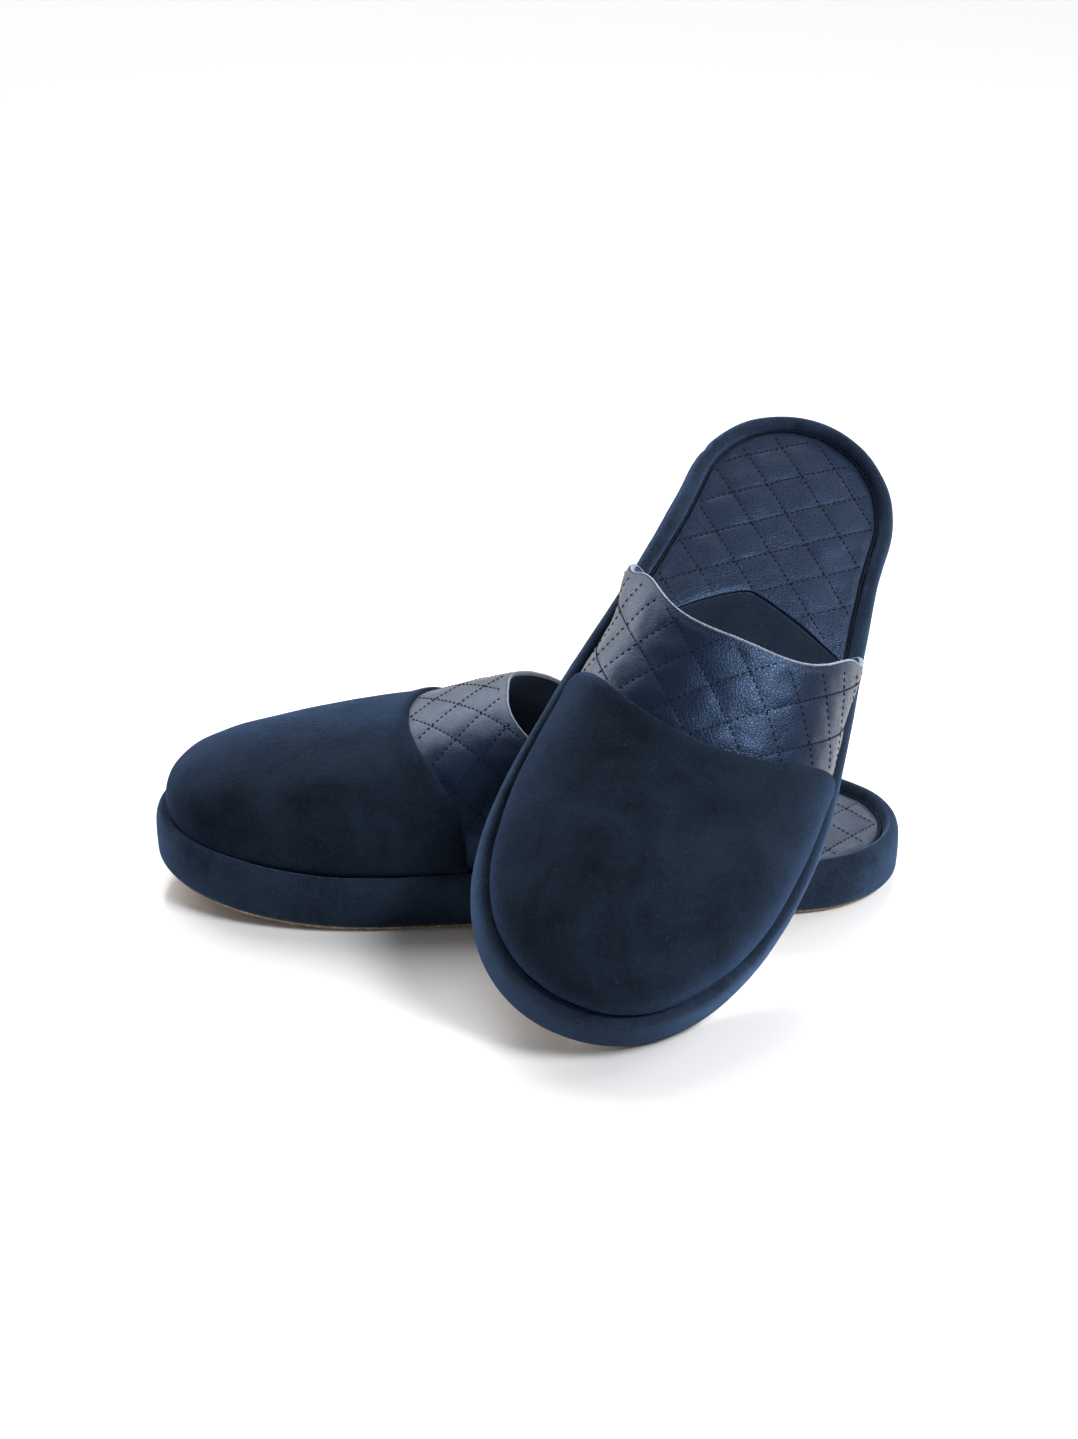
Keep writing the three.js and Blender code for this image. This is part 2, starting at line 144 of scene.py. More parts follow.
def outline(inset, sides=FINE):
    """Closed outline at an inset, once round from the heel by the big toe."""
    inner, outer = (sides[side][0] + inset * sides[side][1] for side in ("inner", "outer"))
    return np.concatenate([inner, outer[-2:0:-1]])


def side_at(side, x, inset):
    """y of one side at x, for an inset per point."""
    points, inward = FINE[side]
    inset = np.broadcast_to(inset, np.shape(x))
    y = np.empty(np.shape(x))
    for value in np.unique(inset):
        line = points + value * inward
        here = inset == value
        y[here] = np.interp(x[here], line[:, 0], line[:, 1])
    return y


def ring(inset, z, sides=FINE):
    flat = outline(inset, sides)
    return np.column_stack([flat, z + spring(flat[:, 0])])


print("points once round the sole:", len(outline(0)))

# %% [markdown]
# ## Where the slippers lie
# The pair's pose is already settled by the CAD model: the left slipper leans on the right one. We
# could type in its place, but then the two models could drift apart. So we read the tilt from the
# flat of each CAD tread, turn our own tread outline the same way, and shift it until it fills the
# CAD tread's box.

# %% Places of both slippers
HEADING = {"right": 180.0, "left": -106.5}  # where each toe points before any lean, in degrees
SAME_WAY = 2e-4  # how far apart two unit normals of one flat may be


def upward(tread):
    """Direction that most of a tread's area faces, up through the slipper."""
    faces = tread.data.polygons
    facing = np.array([face.normal * (1 if face.normal.z > 0 else -1) for face in faces])
    area = np.array([face.area for face in faces])
    shared = [(np.linalg.norm(facing - one, axis=1) < SAME_WAY) @ area for one in facing]
    alike = np.linalg.norm(facing - facing[np.argmax(shared)], axis=1) < SAME_WAY
    return Vector((facing[alike] * area[alike, None]).sum(axis=0)).normalized()


def place(side):
    """Matrix that lays a slipper, in metres, where its CAD model lies."""
    up = upward(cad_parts[f"{side}_outsole"])
    lean = Vector((0, 0, 1)).rotation_difference(up).to_matrix()
    turn = lean @ Matrix.Rotation(math.radians(HEADING[side]), 3, "Z")
    coarse = {name: outline_side(name, CAD_STEPS) for name in BALL}
    tread = np.concatenate([ring(TREAD_INSET + 0.5, 0, coarse), ring(TREAD_INSET, 0.5, coarse),
                            ring(TREAD_INSET, TREAD_THICKNESS, coarse)])
    tread[:, 1] *= -1 if side == "left" else 1
    turned = tread @ np.array(turn).T * MM
    low, high = (np.array(corner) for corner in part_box(f"{side}_outsole"))
    misfit = np.abs((turned.max(0) - turned.min(0)) - (high - low)).max()
    print(side, "tread matches its CAD box to", round(misfit / MM, 3), "mm")
    return Matrix.Translation(Vector(low - turned.min(0))) @ turn.to_4x4()


PLACE = {side: place(side) for side in HEADING}

# %% [markdown]
# ## Making a mesh
# Sewn pieces follow formulas here, such as a curve round the sole or a pattern of seams, so we
# compute their points instead of pushing them by hand. Every piece below is a list of points in
# slipper millimetres and a list of faces. One helper turns that into an object, mirrors it for the
# left foot, lays it in its place, hangs it on an empty for the body it rides on, and hides the CAD
# solid it stands for.

# %% A piece
CREASE_ANGLE = math.radians(48)
made = []


def piece(side, name, points, faces, finish, slot, replaces=True, fill=None):
    """A slipper piece as an object. Left pieces are mirrored."""
    points = np.array(points, float) * MM
    if side == "left":
        points[:, 1] *= -1
        faces = [face[::-1] for face in faces]
    mesh = bpy.data.meshes.new(f"{side}_{name}_mesh")
    mesh.from_pydata(points.tolist(), [], [tuple(int(i) for i in face) for face in faces])
    mesh.validate()
    mesh.transform(PLACE[side])
    mesh.shade_smooth()
    mesh.set_sharp_from_angle(angle=CREASE_ANGLE)
    mesh.materials.append(finish)
    thing = bpy.data.objects.new(f"{side}_{name}_fine", mesh)
    bpy.context.scene.collection.objects.link(thing)
    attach(thing, f"{side}_slipper")
    if replaces:
        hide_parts(f"{side}_{name}")
    made.append((thing.name, len(mesh.polygons)))


# %% [markdown]
# Almost every piece is a grid of points: rings round the sole, or arches one behind the other. One
# function makes the faces of such a grid. Another turns them so that they all face outward, which
# it knows from the sign of the volume they enclose.

# %% Faces
def grid_faces(rows, columns, start=0, wrap_rows=False, wrap_columns=False, flip=False):
    """Quads over a grid of points stored row by row."""
    faces = []
    for r in range(rows if wrap_rows else rows - 1):
        for c in range(columns if wrap_columns else columns - 1):
            right, below = (c + 1) % columns, (r + 1) % rows
            quad = [r * columns + c, r * columns + right,
                    below * columns + right, below * columns + c]
            faces.append([start + i for i in (quad[::-1] if flip else quad)])
    return faces


def outward(points, faces):
    """Faces turned so the body's volume is positive."""
    triangles = [(face[0], face[i], face[i + 1]) for face in faces for i in range(1, len(face) - 1)]
    a, b, c = (points[[t[i] for t in triangles]] for i in range(3))
    volume = np.einsum("ij,ij->i", a, np.cross(b, c)).sum()
    return [face[::-1] for face in faces] if volume < 0 else faces


def hoop(section):
    """Closed section carried round the outline: section is a list of (inset, z)."""
    points = np.concatenate([ring(inset, z) for inset, z in section])
    faces = grid_faces(len(section), len(points) // len(section), wrap_rows=True, wrap_columns=True)
    return points, outward(points, faces)


# %% [markdown]
# Cloth and foam are never perfectly even. Blender's noise gives each point a smooth value that
# depends only on where it is, so the unevenness is the same on every run.

# %% Unevenness
def wobble(points, size, height, seed=0):
    """Soft random displacement per point, in mm, for bumps of about the given size."""
    shift = Vector((seed * 7.1, seed * 3.7, seed * 1.3))
    return height * np.array([noise.noise(Vector(p) / size + shift) for p in points])


def normals(points, faces):
    """Point normals of a mesh."""
    mesh = bpy.data.meshes.new("measure")
    mesh.from_pydata(points.tolist(), [], faces)
    mesh.update()
    found = np.array([vertex.normal[:] for vertex in mesh.vertices])
    bpy.data.meshes.remove(mesh)
    return found


# %% [markdown]
# ## Finishes
# A finish is a material made of nodes, so its detail never runs out when we look closer. Effects
# that several finishes share go into node groups with named inputs. Four small helpers keep the
# code that wires nodes together short.

# %% Node helpers
def group(name, inputs, outputs):
    """Empty shader group with named sockets."""
    tree = bpy.data.node_groups.new(name, "ShaderNodeTree")
    for direction, sockets in (("INPUT", inputs), ("OUTPUT", outputs)):
        for socket, kind, value in sockets:
            new = tree.interface.new_socket(
                socket, in_out=direction, socket_type=f"NodeSocket{kind}")
            if value is not None:
                new.default_value = value
    return tree, tree.nodes.new("NodeGroupInput"), tree.nodes.new("NodeGroupOutput")


def node(tree, kind, **settings):
    """Node with its properties and input values set."""
    new = tree.nodes.new(f"ShaderNode{kind}")
    for key, value in settings.items():
        if hasattr(new, key):
            setattr(new, key, value)
        else:
            new.inputs[key.replace("_", " ")].default_value = value
    return new


def mix(tree, factor, low, high):
    """Colour mix; low and high are sockets."""
    new = node(tree, "Mix", data_type="RGBA")
    tree.links.new(factor, new.inputs["Factor"])
    tree.links.new(low, new.inputs["A"])
    tree.links.new(high, new.inputs["B"])
    return new.outputs["Result"]


def ramp(tree, value, low, high):
    """Value from 0 at low to 1 at high."""
    new = node(tree, "MapRange", From_Min=low, From_Max=high)
    tree.links.new(value, new.inputs["Value"])
    return new.outputs["Result"]


# %% [markdown]
# Velour is a short cut pile. Pressed one way it looks darker, the other way lighter, so its colour
# is mottled in soft patches with fine flecks inside them, and here and there sits a speck of lint.
# Hair particles could make a real pile, but they would be slow and would not export. The lining is
# the same cloth in a lighter blue, so we build a node group called nap and use it for both.

# %% Nap group
def nap_group():
    tree, given, gives = group("nap", [
        ("Vector", "Vector", None),
        ("Pressed", "Color", (0.01, 0.015, 0.03, 1)),
        ("Raised", "Color", (0.02, 0.03, 0.06, 1)),
        ("Fleck", "Float", 0.4),
        ("Lint", "Color", (0.05, 0.07, 0.11, 1)),
    ], [("Color", "Color", None), ("Height", "Float", None)])
    patches = node(tree, "TexNoise", Scale=34, Detail=5, Roughness=0.62, Distortion=0.6)
    flecks = node(tree, "TexNoise", Scale=900, Detail=3, Roughness=0.7)
    strands = node(tree, "TexNoise", Scale=2600, Detail=2, Roughness=0.6)
    for texture in (patches, flecks, strands):
        tree.links.new(given.outputs["Vector"], texture.inputs["Vector"])
    brushed = ramp(tree, patches.outputs["Fac"], 0.32, 0.7)
    speck = node(tree, "Math", operation="MULTIPLY")
    tree.links.new(ramp(tree, flecks.outputs["Fac"], 0.35, 0.7), speck.inputs[0])
    tree.links.new(given.outputs["Fleck"], speck.inputs[1])
    share = node(tree, "Math", operation="ADD", use_clamp=True)
    tree.links.new(brushed, share.inputs[0])
    tree.links.new(speck.outputs[0], share.inputs[1])
    cloth = mix(tree, share.outputs[0], given.outputs["Pressed"], given.outputs["Raised"])
    specks = node(tree, "TexNoise", Scale=1500, Detail=1)
    tree.links.new(given.outputs["Vector"], specks.inputs["Vector"])
    fluff = ramp(tree, specks.outputs["Fac"], 0.73, 0.83)
    tree.links.new(mix(tree, fluff, cloth, given.outputs["Lint"]), gives.inputs["Color"])
    pile = node(tree, "Math", operation="ADD")
    tree.links.new(flecks.outputs["Fac"], pile.inputs[0])
    tree.links.new(strands.outputs["Fac"], pile.inputs[1])
    tree.links.new(pile.outputs[0], gives.inputs["Height"])
    return tree


NAP = nap_group()
print("nap:", len(NAP.nodes), "nodes")

# %% [markdown]
# Leather grain is a net of fine creases around small pebbles, with larger soft unevenness over
# it. The pebbles come from Voronoi cells. The group gives a height for the bump and a mask of
# the creases, which are a little darker and rougher than the pebbles. The quilted leather, the
# pale binding and, more coarsely, the tread all use it.

# %% Grain group
def grain_group():
    tree, given, gives = group("grain", [
        ("Vector", "Vector", None),
        ("Pebbles", "Float", 900.0),
        ("Crease", "Color", (0.01, 0.015, 0.03, 1)),
        ("Pebble", "Color", (0.02, 0.03, 0.06, 1)),
        ("Rough Pebble", "Float", 0.4),
        ("Rough Crease", "Float", 0.6),
    ], [("Color", "Color", None), ("Roughness", "Float", None), ("Height", "Float", None)])
    warp = node(tree, "TexNoise", Scale=500, Detail=3)
    cells = node(tree, "TexVoronoi", feature="DISTANCE_TO_EDGE")
    swell = node(tree, "TexNoise", Scale=120, Detail=4, Roughness=0.6)
    bent = node(tree, "VectorMath", operation="MULTIPLY_ADD")
    bent.inputs[1].default_value = (0.0012, 0.0012, 0.0012)
    tree.links.new(given.outputs["Vector"], warp.inputs["Vector"])
    tree.links.new(given.outputs["Vector"], swell.inputs["Vector"])
    tree.links.new(warp.outputs["Color"], bent.inputs[0])
    tree.links.new(given.outputs["Vector"], bent.inputs[2])
    tree.links.new(bent.outputs[0], cells.inputs["Vector"])
    tree.links.new(given.outputs["Pebbles"], cells.inputs["Scale"])
    open_grain = ramp(tree, cells.outputs["Distance"], 0.0, 0.22)
    colour = mix(tree, open_grain, given.outputs["Crease"], given.outputs["Pebble"])
    tree.links.new(colour, gives.inputs["Color"])
    rough = node(tree, "Mix", data_type="FLOAT")
    tree.links.new(open_grain, rough.inputs["Factor"])
    tree.links.new(given.outputs["Rough Crease"], rough.inputs["A"])
    tree.links.new(given.outputs["Rough Pebble"], rough.inputs["B"])
    tree.links.new(rough.outputs["Result"], gives.inputs["Roughness"])
    height = node(tree, "Math", operation="ADD")
    tree.links.new(open_grain, height.inputs[0])
    tree.links.new(swell.outputs["Fac"], height.inputs[1])
    tree.links.new(height.outputs[0], gives.inputs["Height"])
    return tree


GRAIN = grain_group()
print("grain:", len(GRAIN.nodes), "nodes")


# %% [markdown]
# Each finish puts one group in front of a Principled shader. What varies over the surface comes
# from the group. What is the same everywhere, such as sheen, is set on the shader itself.

# %% Material builder
def material(name, effect, values, bump, shader):
    """Principled material fed by one effect group. Plain numbers go straight on its sockets."""
    new = bpy.data.materials.new(name)
    new.use_nodes = True
    tree = new.node_tree
    principled = tree.nodes["Principled BSDF"]
    for socket, value in shader.items():
        principled.inputs[socket].default_value = value
    where = node(tree, "TexCoord")
    look = node(tree, "Group", node_tree=effect)
    for socket, value in values.items():
        look.inputs[socket].default_value = value
    tree.links.new(where.outputs["Object"], look.inputs["Vector"])
    tree.links.new(look.outputs["Color"], principled.inputs["Base Color"])
    if "Roughness" in look.outputs:
        tree.links.new(look.outputs["Roughness"], principled.inputs["Roughness"])
    raised = node(tree, "Bump", Strength=bump[0], Distance=bump[1])
    tree.links.new(look.outputs["Height"], raised.inputs["Height"])
    tree.links.new(raised.outputs["Normal"], principled.inputs["Normal"])
    return new


# %% [markdown]
# Velour hardly shines when you look straight at it, but its pile glows at a grazing angle. That is
# what sheen is for. Round the sole the velour's colour is about doubled, as painted light on the
# rim.

# %% Velour and lining
VELOUR = material("navy_velour", NAP, {
    "Pressed": (0.0035, 0.0065, 0.012, 1), "Raised": (0.0122, 0.0208, 0.0365, 1), "Fleck": 0.45,
}, (0.8, 0.0005), {
    "Roughness": 0.95, "Specular IOR Level": 0.06,
    "Sheen Weight": 0.42, "Sheen Roughness": 0.26, "Sheen Tint": (0.18, 0.36, 0.80, 1),
})
# Painted light: the rim's velour is coloured about twice as light as the rest, for the light on the
# rim.
PAINTED_LIGHT_RIM_VELOUR = material("rim_velour_painted_light", NAP, {
    "Pressed": (0.0075, 0.012, 0.020, 1), "Raised": (0.022, 0.037, 0.066, 1), "Fleck": 0.5,
}, (0.8, 0.0005), {
    "Roughness": 0.95, "Specular IOR Level": 0.06,
    "Sheen Weight": 0.7, "Sheen Roughness": 0.28, "Sheen Tint": (0.22, 0.40, 0.80, 1),
})
LINING = material("blue_lining", NAP, {
    "Pressed": (0.024, 0.040, 0.075, 1), "Raised": (0.048, 0.076, 0.13, 1), "Fleck": 0.3,
}, (0.4, 0.0005), {
    "Roughness": 0.95, "Specular IOR Level": 0.15,
    "Sheen Weight": 0.3, "Sheen Roughness": 0.4, "Sheen Tint": (0.5, 0.65, 1.0, 1),
})
print("velours:", VELOUR.name, PAINTED_LIGHT_RIM_VELOUR.name, LINING.name)

# %% [markdown]
# The leather is dyed right through and lightly polished, so its reflections are tinted blue and
# only a little soft. The binding is a pale strip of the same leather. The tread is pressed rubber
# crumb, coarse and dull. The thread is matt, and as dark as the leather or darker.

# %% Leather, binding, tread and thread
LEATHER = material("navy_quilted_leather", GRAIN, {
    "Pebbles": 950.0, "Crease": (0.003, 0.0055, 0.014, 1), "Pebble": (0.006, 0.0115, 0.031, 1),
    "Rough Pebble": 0.32, "Rough Crease": 0.46,
}, (0.2, 0.0003), {"Specular IOR Level": 0.5, "Specular Tint": (0.36, 0.58, 1.0, 1)})
EDGE = material("pale_edge_binding", GRAIN, {
    "Pebbles": 1400.0, "Crease": (0.12, 0.16, 0.23, 1), "Pebble": (0.34, 0.40, 0.52, 1),
    "Rough Pebble": 0.55, "Rough Crease": 0.75,
}, (0.4, 0.0003), {"Specular IOR Level": 0.4})
TREAD = material("tan_tread", GRAIN, {
    "Pebbles": 420.0, "Crease": (0.36, 0.25, 0.14, 1), "Pebble": (0.62, 0.47, 0.31, 1),
    "Rough Pebble": 0.75, "Rough Crease": 0.9,
}, (0.6, 0.0006), {"Specular IOR Level": 0.3})
THREAD = material("navy_thread", NAP, {
    "Pressed": (0.0012, 0.003, 0.009, 1), "Raised": (0.003, 0.007, 0.018, 1), "Fleck": 0.5,
}, (0.3, 0.0002), {"Roughness": 0.7, "Specular IOR Level": 0.15})
print("leather, binding, tread, thread:", LEATHER.name, EDGE.name, TREAD.name, THREAD.name)

# %% Foam and board
FOAM = material("grey_foam", GRAIN, {
    "Pebbles": 1600.0, "Crease": (0.020, 0.024, 0.034, 1), "Pebble": (0.045, 0.052, 0.070, 1),
    "Rough Pebble": 0.9, "Rough Crease": 1.0,
}, (0.5, 0.0004), {})
BOARD = material("brown_board", NAP, {
    "Pressed": (0.05, 0.034, 0.022, 1), "Raised": (0.10, 0.075, 0.05, 1), "Fleck": 0.6,
}, (0.2, 0.0003), {"Roughness": 0.9})
print("hidden:", FOAM.name, BOARD.name)

# %% [markdown]
# ## The hidden core
# The foam platform, the board and the footbed foam are shut inside. Their CAD solids already
# have the right shape, so they stay as they are and only get a finish.

# %% Finish the hidden solids
for side in PLACE:
    for name, finish in (("platform", FOAM), ("insole_board", BOARD), ("footbed_foam", FOAM)):
        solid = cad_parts[f"{side}_{name}"]
        solid.data.materials.clear()
        solid.data.materials.append(finish)
        for face in solid.data.polygons:
            face.material_index = 0
        print(solid.name, "is", finish.name)

# %% [markdown]
# ## The sole's cover and the tread
# The cover is one strip of velour pulled round the foam and rolled over the rim into the groove. A
# curve with a bevel could give the roll, but not the flat flange under the sole. So we draw one
# closed section, as pairs of inset and height, and carry it round the outline.

# %% Cover section
COVER_BASE = TREAD_THICKNESS + 0.3
FLANGE = 14
EDGE_CORNER = 1.8


def cover_section(within, steps):
    """Outer face of the cover, or the face a given distance inside it."""
    half, roll_base = RIM_WIDTH / 2, RIM_HEIGHT - RIM_RISE
    bend = EDGE_CORNER - within
    flange = [(FLANGE, COVER_BASE + within), (FLANGE / 2, COVER_BASE + within)]
    turn = np.linspace(0, math.pi / 2, max(steps // 2, 2))
    lower = [(EDGE_CORNER - bend * math.sin(a), COVER_BASE + EDGE_CORNER - bend * math.cos(a))
             for a in turn]
    middle = [(within, COVER_BASE + 5), (within, COVER_BASE + 9)]
    roll = [(half - (half - within) * math.cos(a), roll_base + (RIM_RISE - within) * math.sin(a))
            for a in np.linspace(0, math.pi, steps)]
    return flange + lower + middle + roll


print("section corners:", len(cover_section(0, 15)))

# %% [markdown]
# Pulled cloth bulges a little at the side, and its lower edge sags. Where the strip's two ends
# meet, near the heel, a butt seam pinches it. We move the skin's points in and out for all of that,
# and leave the inner face alone.

# %% Cover shape
SAG = 0.6  # how far the soft lower edge hangs down
BULGE = 0.35
COVER_SWELLS = ((46, 0.55, 1), (15, 0.22, 2))  # size, height and seed of each unevenness
BUTT_SEAM_X, BUTT_SEAM_WIDTH, BUTT_SEAM_DEPTH = 34, 1.6, 0.7


def cover_points():
    """The cover, with its bulge, sag and butt seam."""
    outer, inner = cover_section(0, 15), cover_section(COVER_THICKNESS, 7)
    points, faces = hoop(outer + inner[::-1])
    around = len(outline(0))
    inset = np.repeat([corner[0] for corner in outer + inner[::-1]], around)
    skin = np.arange(len(points)) < len(outer) * around
    facing = normals(points, faces)
    soft = wobble(points, *COVER_SWELLS[0]) + wobble(points, *COVER_SWELLS[1])
    side_height = np.clip((points[:, 2] - COVER_BASE - spring(points[:, 0])) / 4, 0, 1)
    up_side = np.clip((points[:, 2] - 3 - spring(points[:, 0])) / 15, 0, 1)
    bulge = BULGE * np.sin(up_side * math.pi)
    lift = (soft + bulge) * side_height
    seam = (points[:, 1] > 0) * np.exp(-(((points[:, 0] - BUTT_SEAM_X) / BUTT_SEAM_WIDTH) ** 2))
    lift -= BUTT_SEAM_DEPTH * seam * side_height
    points = points + facing * (lift * skin)[:, None]
    above = points[:, 2] - COVER_BASE - spring(points[:, 0])
    points[:, 2] -= SAG * np.exp(-((above / 1.5) ** 2)) * np.exp(-(((inset - 1.2) / 0.9) ** 2))
    return points, faces


# %% [markdown]
# The tread is a flat sheet with a slightly rounded lower edge. Its two flats are closed with strips
# from side to side, which follow the curled toe better than one many-sided face would.

# %% Tread shape
def tread_points():
    """The tread, a closed sheet."""
    section = [(TREAD_INSET + 0.5, 0), (TREAD_INSET + 0.1, 0.15),
               (TREAD_INSET, 0.6), (TREAD_INSET, TREAD_THICKNESS)]
    rings = [ring(inset, z) for inset, z in section]
    points = np.concatenate(rings)
    around = len(rings[0])
    faces = grid_faces(len(rings), around, wrap_columns=True)
    for start, flip in ((0, False), (len(points) - around, True)):
        for i in range(around // 2):
            strip = [start + i, start + i + 1,
                     start + around - i - 1, start + (around - i) % around]
            strip = list(dict.fromkeys(strip))
            faces.append(strip if flip else strip[::-1])
    return points, outward(points, faces)


# %% Make the cover and the tread
# The cover wears the velour painted about twice as light, as painted light for its lit rim.
for side in PLACE:
    piece(side, "platform_cover", *cover_points(), PAINTED_LIGHT_RIM_VELOUR, "velour", fill=0.7)
    piece(side, "outsole", *tread_points(), TREAD, "tread")
print(made[-4:])

# %% [markdown]
# ## Stitches
# A quilting seam is a row of short thread stitches sunk into the leather. A painted dotted line
# would look flat from the side, so each stitch is a little capsule laid along the seam, and all
# stitches of one piece are joined into one mesh.

# %% Stitch maker
STITCH_LENGTH, STITCH_PITCH, STITCH_RADIUS = 1.45, 2.3, 0.28
STITCH_SIDES = 5


def stitches(centres, along, up):
    """Mesh of capsules at the centres, turned along the seam."""
    across = np.cross(up, along)
    points, faces = [], []
    profile = [(-0.5, 0.0), (-0.36, 1.0), (0.0, 1.15), (0.36, 1.0), (0.5, 0.0)]
    for centre, t, n, s in zip(centres, along, up, across):
        start = len(points)
        for share, width in profile[1:-1]:
            for k in range(STITCH_SIDES):
                angle = 2 * math.pi * k / STITCH_SIDES
                offset = STITCH_RADIUS * width * (math.cos(angle) * s + math.sin(angle) * n)
                points.append(centre + share * STITCH_LENGTH * t + offset)
        rings = len(profile) - 2
        faces += grid_faces(rings, STITCH_SIDES, start, wrap_columns=True, flip=True)
        for share, row in ((profile[0][0], 0), (profile[-1][0], rings - 1)):
            tip = len(points)
            points.append(centre + share * STITCH_LENGTH * t - 0.15 * n)
            for k in range(STITCH_SIDES):
                a = start + row * STITCH_SIDES + k
                b = start + row * STITCH_SIDES + (k + 1) % STITCH_SIDES
                faces.append([a, b, tip] if row == 0 else [b, a, tip])
    points = np.array(points)
    return points, outward(points, faces)


print("stitches", STITCH_LENGTH, "mm long, one every", STITCH_PITCH, "mm")


# %% [markdown]
# ## The footbed
# The sock is what the foot rests on: quilted leather at the heel and velour from the arch forward.
# The two meet at an edge cut like a pointed arch. Each outline is the side of the sole, drawn
# further in, closed by that arch.

# %% Footbed outlines
def arch_x(y):
    """Front edge of the heel sock at y."""
    sweep = np.where(y > ARCH_OFFSET, ARCH_SWEEP["inner"], ARCH_SWEEP["outer"])
    return ARCH_APEX + sweep * (np.abs(y - ARCH_OFFSET) / HEEL_HALF_WIDTH) ** ARCH_POWER


def sock_outline(part):
    """Closed outline of the heel sock or the toe sock."""
    kept = {}
    for side in BALL:
        points, inward = FINE[side]
        line = points + SOCK_INSET * inward
        behind = line[:, 0] < arch_x(line[:, 1])
        kept[side] = line[behind] if part == "heel" else line[~behind]
    ends = [kept[side][-1 if part == "heel" else 0, 1] for side in ("inner", "outer")]
    y = np.linspace(*ends, 60)
    shift = -0.4 if part == "heel" else 0.1
    arch = np.column_stack([arch_x(y) + shift, y])
    if part == "heel":
        return np.concatenate([kept["inner"], arch, kept["outer"][::-1]])
    return np.concatenate([kept["inner"], kept["outer"][::-1], arch[::-1]])


print("points round the heel sock:", len(sock_outline("heel")))

# %% [markdown]
# To round a pad off at its edge we need to know how far each point is from the outline. To fill the
# outline with rings we need to know how far it is from the middle in each direction.

# %% Distances in an outline
def to_edge(points, edge):
    """Distance from each point to a closed outline."""
    near = np.full(len(points), 1e9)
    for a, b in zip(edge, np.roll(edge, -1, axis=0)):
        span = b - a
        length = max(span @ span, 1e-9)
        t = np.clip((points - a) @ span / length, 0, 1)
        near = np.minimum(near, np.linalg.norm(points - a - t[:, None] * span, axis=1))
    return near


def ray_lengths(middle, angles, edge):
    """Distance from a middle point to the outline in each direction."""
    a, b = edge - middle, np.roll(edge, -1, axis=0) - middle
    found = np.zeros(len(angles))
    for i, angle in enumerate(angles):
        d = np.array([math.cos(angle), math.sin(angle)])
        cross_a, cross_b = d[0] * a[:, 1] - d[1] * a[:, 0], d[0] * b[:, 1] - d[1] * b[:, 0]
        hit = (cross_a * cross_b <= 0) & (cross_a != cross_b)
        t = cross_a[hit] / (cross_a[hit] - cross_b[hit])
        where = (a[hit] + t[:, None] * (b[hit] - a[hit])) @ d
        found[i] = where[where > 0].max()
    return found


def smooth(x):
    x = np.clip(x, 0, 1)
    return x * x * (3 - 2 * x)


# %% [markdown]
# Quilting is two sets of parallel seams that cross in diamonds. The leather dips sharply at a seam
# and is a low pillow between seams, so we add a narrow groove and a soft swelling.

# %% Quilting pattern
QUILT_ANGLE = math.radians(48)
GROOVE_WIDTH, GROOVE_SHARE = 0.8, 0.35


def to_seam(level, pitch):
    """Distance to the nearest of a set of parallel seams."""
    return np.abs((level + pitch / 2) % pitch - pitch / 2)


def quilt(u, v, pitch, phase):
    """Swelling from 0 on a seam to 1 in the middle of a diamond; u and v run along the piece."""
    c, s = math.cos(QUILT_ANGLE), math.sin(QUILT_ANGLE)
    a, b = to_seam(u * s - v * c - phase[0], pitch), to_seam(u * s + v * c - phase[1], pitch)
    groove = (1 - np.exp(-a / GROOVE_WIDTH)) * (1 - np.exp(-b / GROOVE_WIDTH))
    pillow = np.sqrt(np.sin(math.pi * a / pitch) * np.sin(math.pi * b / pitch))
    return GROOVE_SHARE * groove + (1 - GROOVE_SHARE) * pillow


print("seams cross at", round(180 - 2 * math.degrees(QUILT_ANGLE)), "degrees")


# %% [markdown]
# The pad itself is rings round a middle point, closed by a flat floor. That way it can swell
# between its seams and turn down smoothly at its edge, which a grid cut off at the outline could
# not do.

# %% Footbed pads
SOCK_PITCH, SOCK_PUFF = 15.0, 0.4
SOCK_PHASE = (6.0, 7.0)
EDGE_ROUND = 1.0


def sock_height(flat, outline_here):
    """Top of the footbed over flat points, without quilting."""
    edge = to_edge(flat, outline(SOCK_INSET))
    crown = CROWN_HEIGHT * smooth((edge - CROWN_START + SOCK_INSET) / (CROWN_END - CROWN_START))
    rim = np.clip(1 - to_edge(flat, outline_here) / EDGE_ROUND, 0, 1)
    return SOCK_TOP + crown - EDGE_ROUND * (1 - np.sqrt(1 - rim**2)) * 0.8 + spring(flat[:, 0])


def sock_creases(flat):
    """Small folds of the leather, a little below its even height."""
    return wobble(np.column_stack([flat, np.zeros(len(flat))]), 9, 0.3, 3) - 0.35


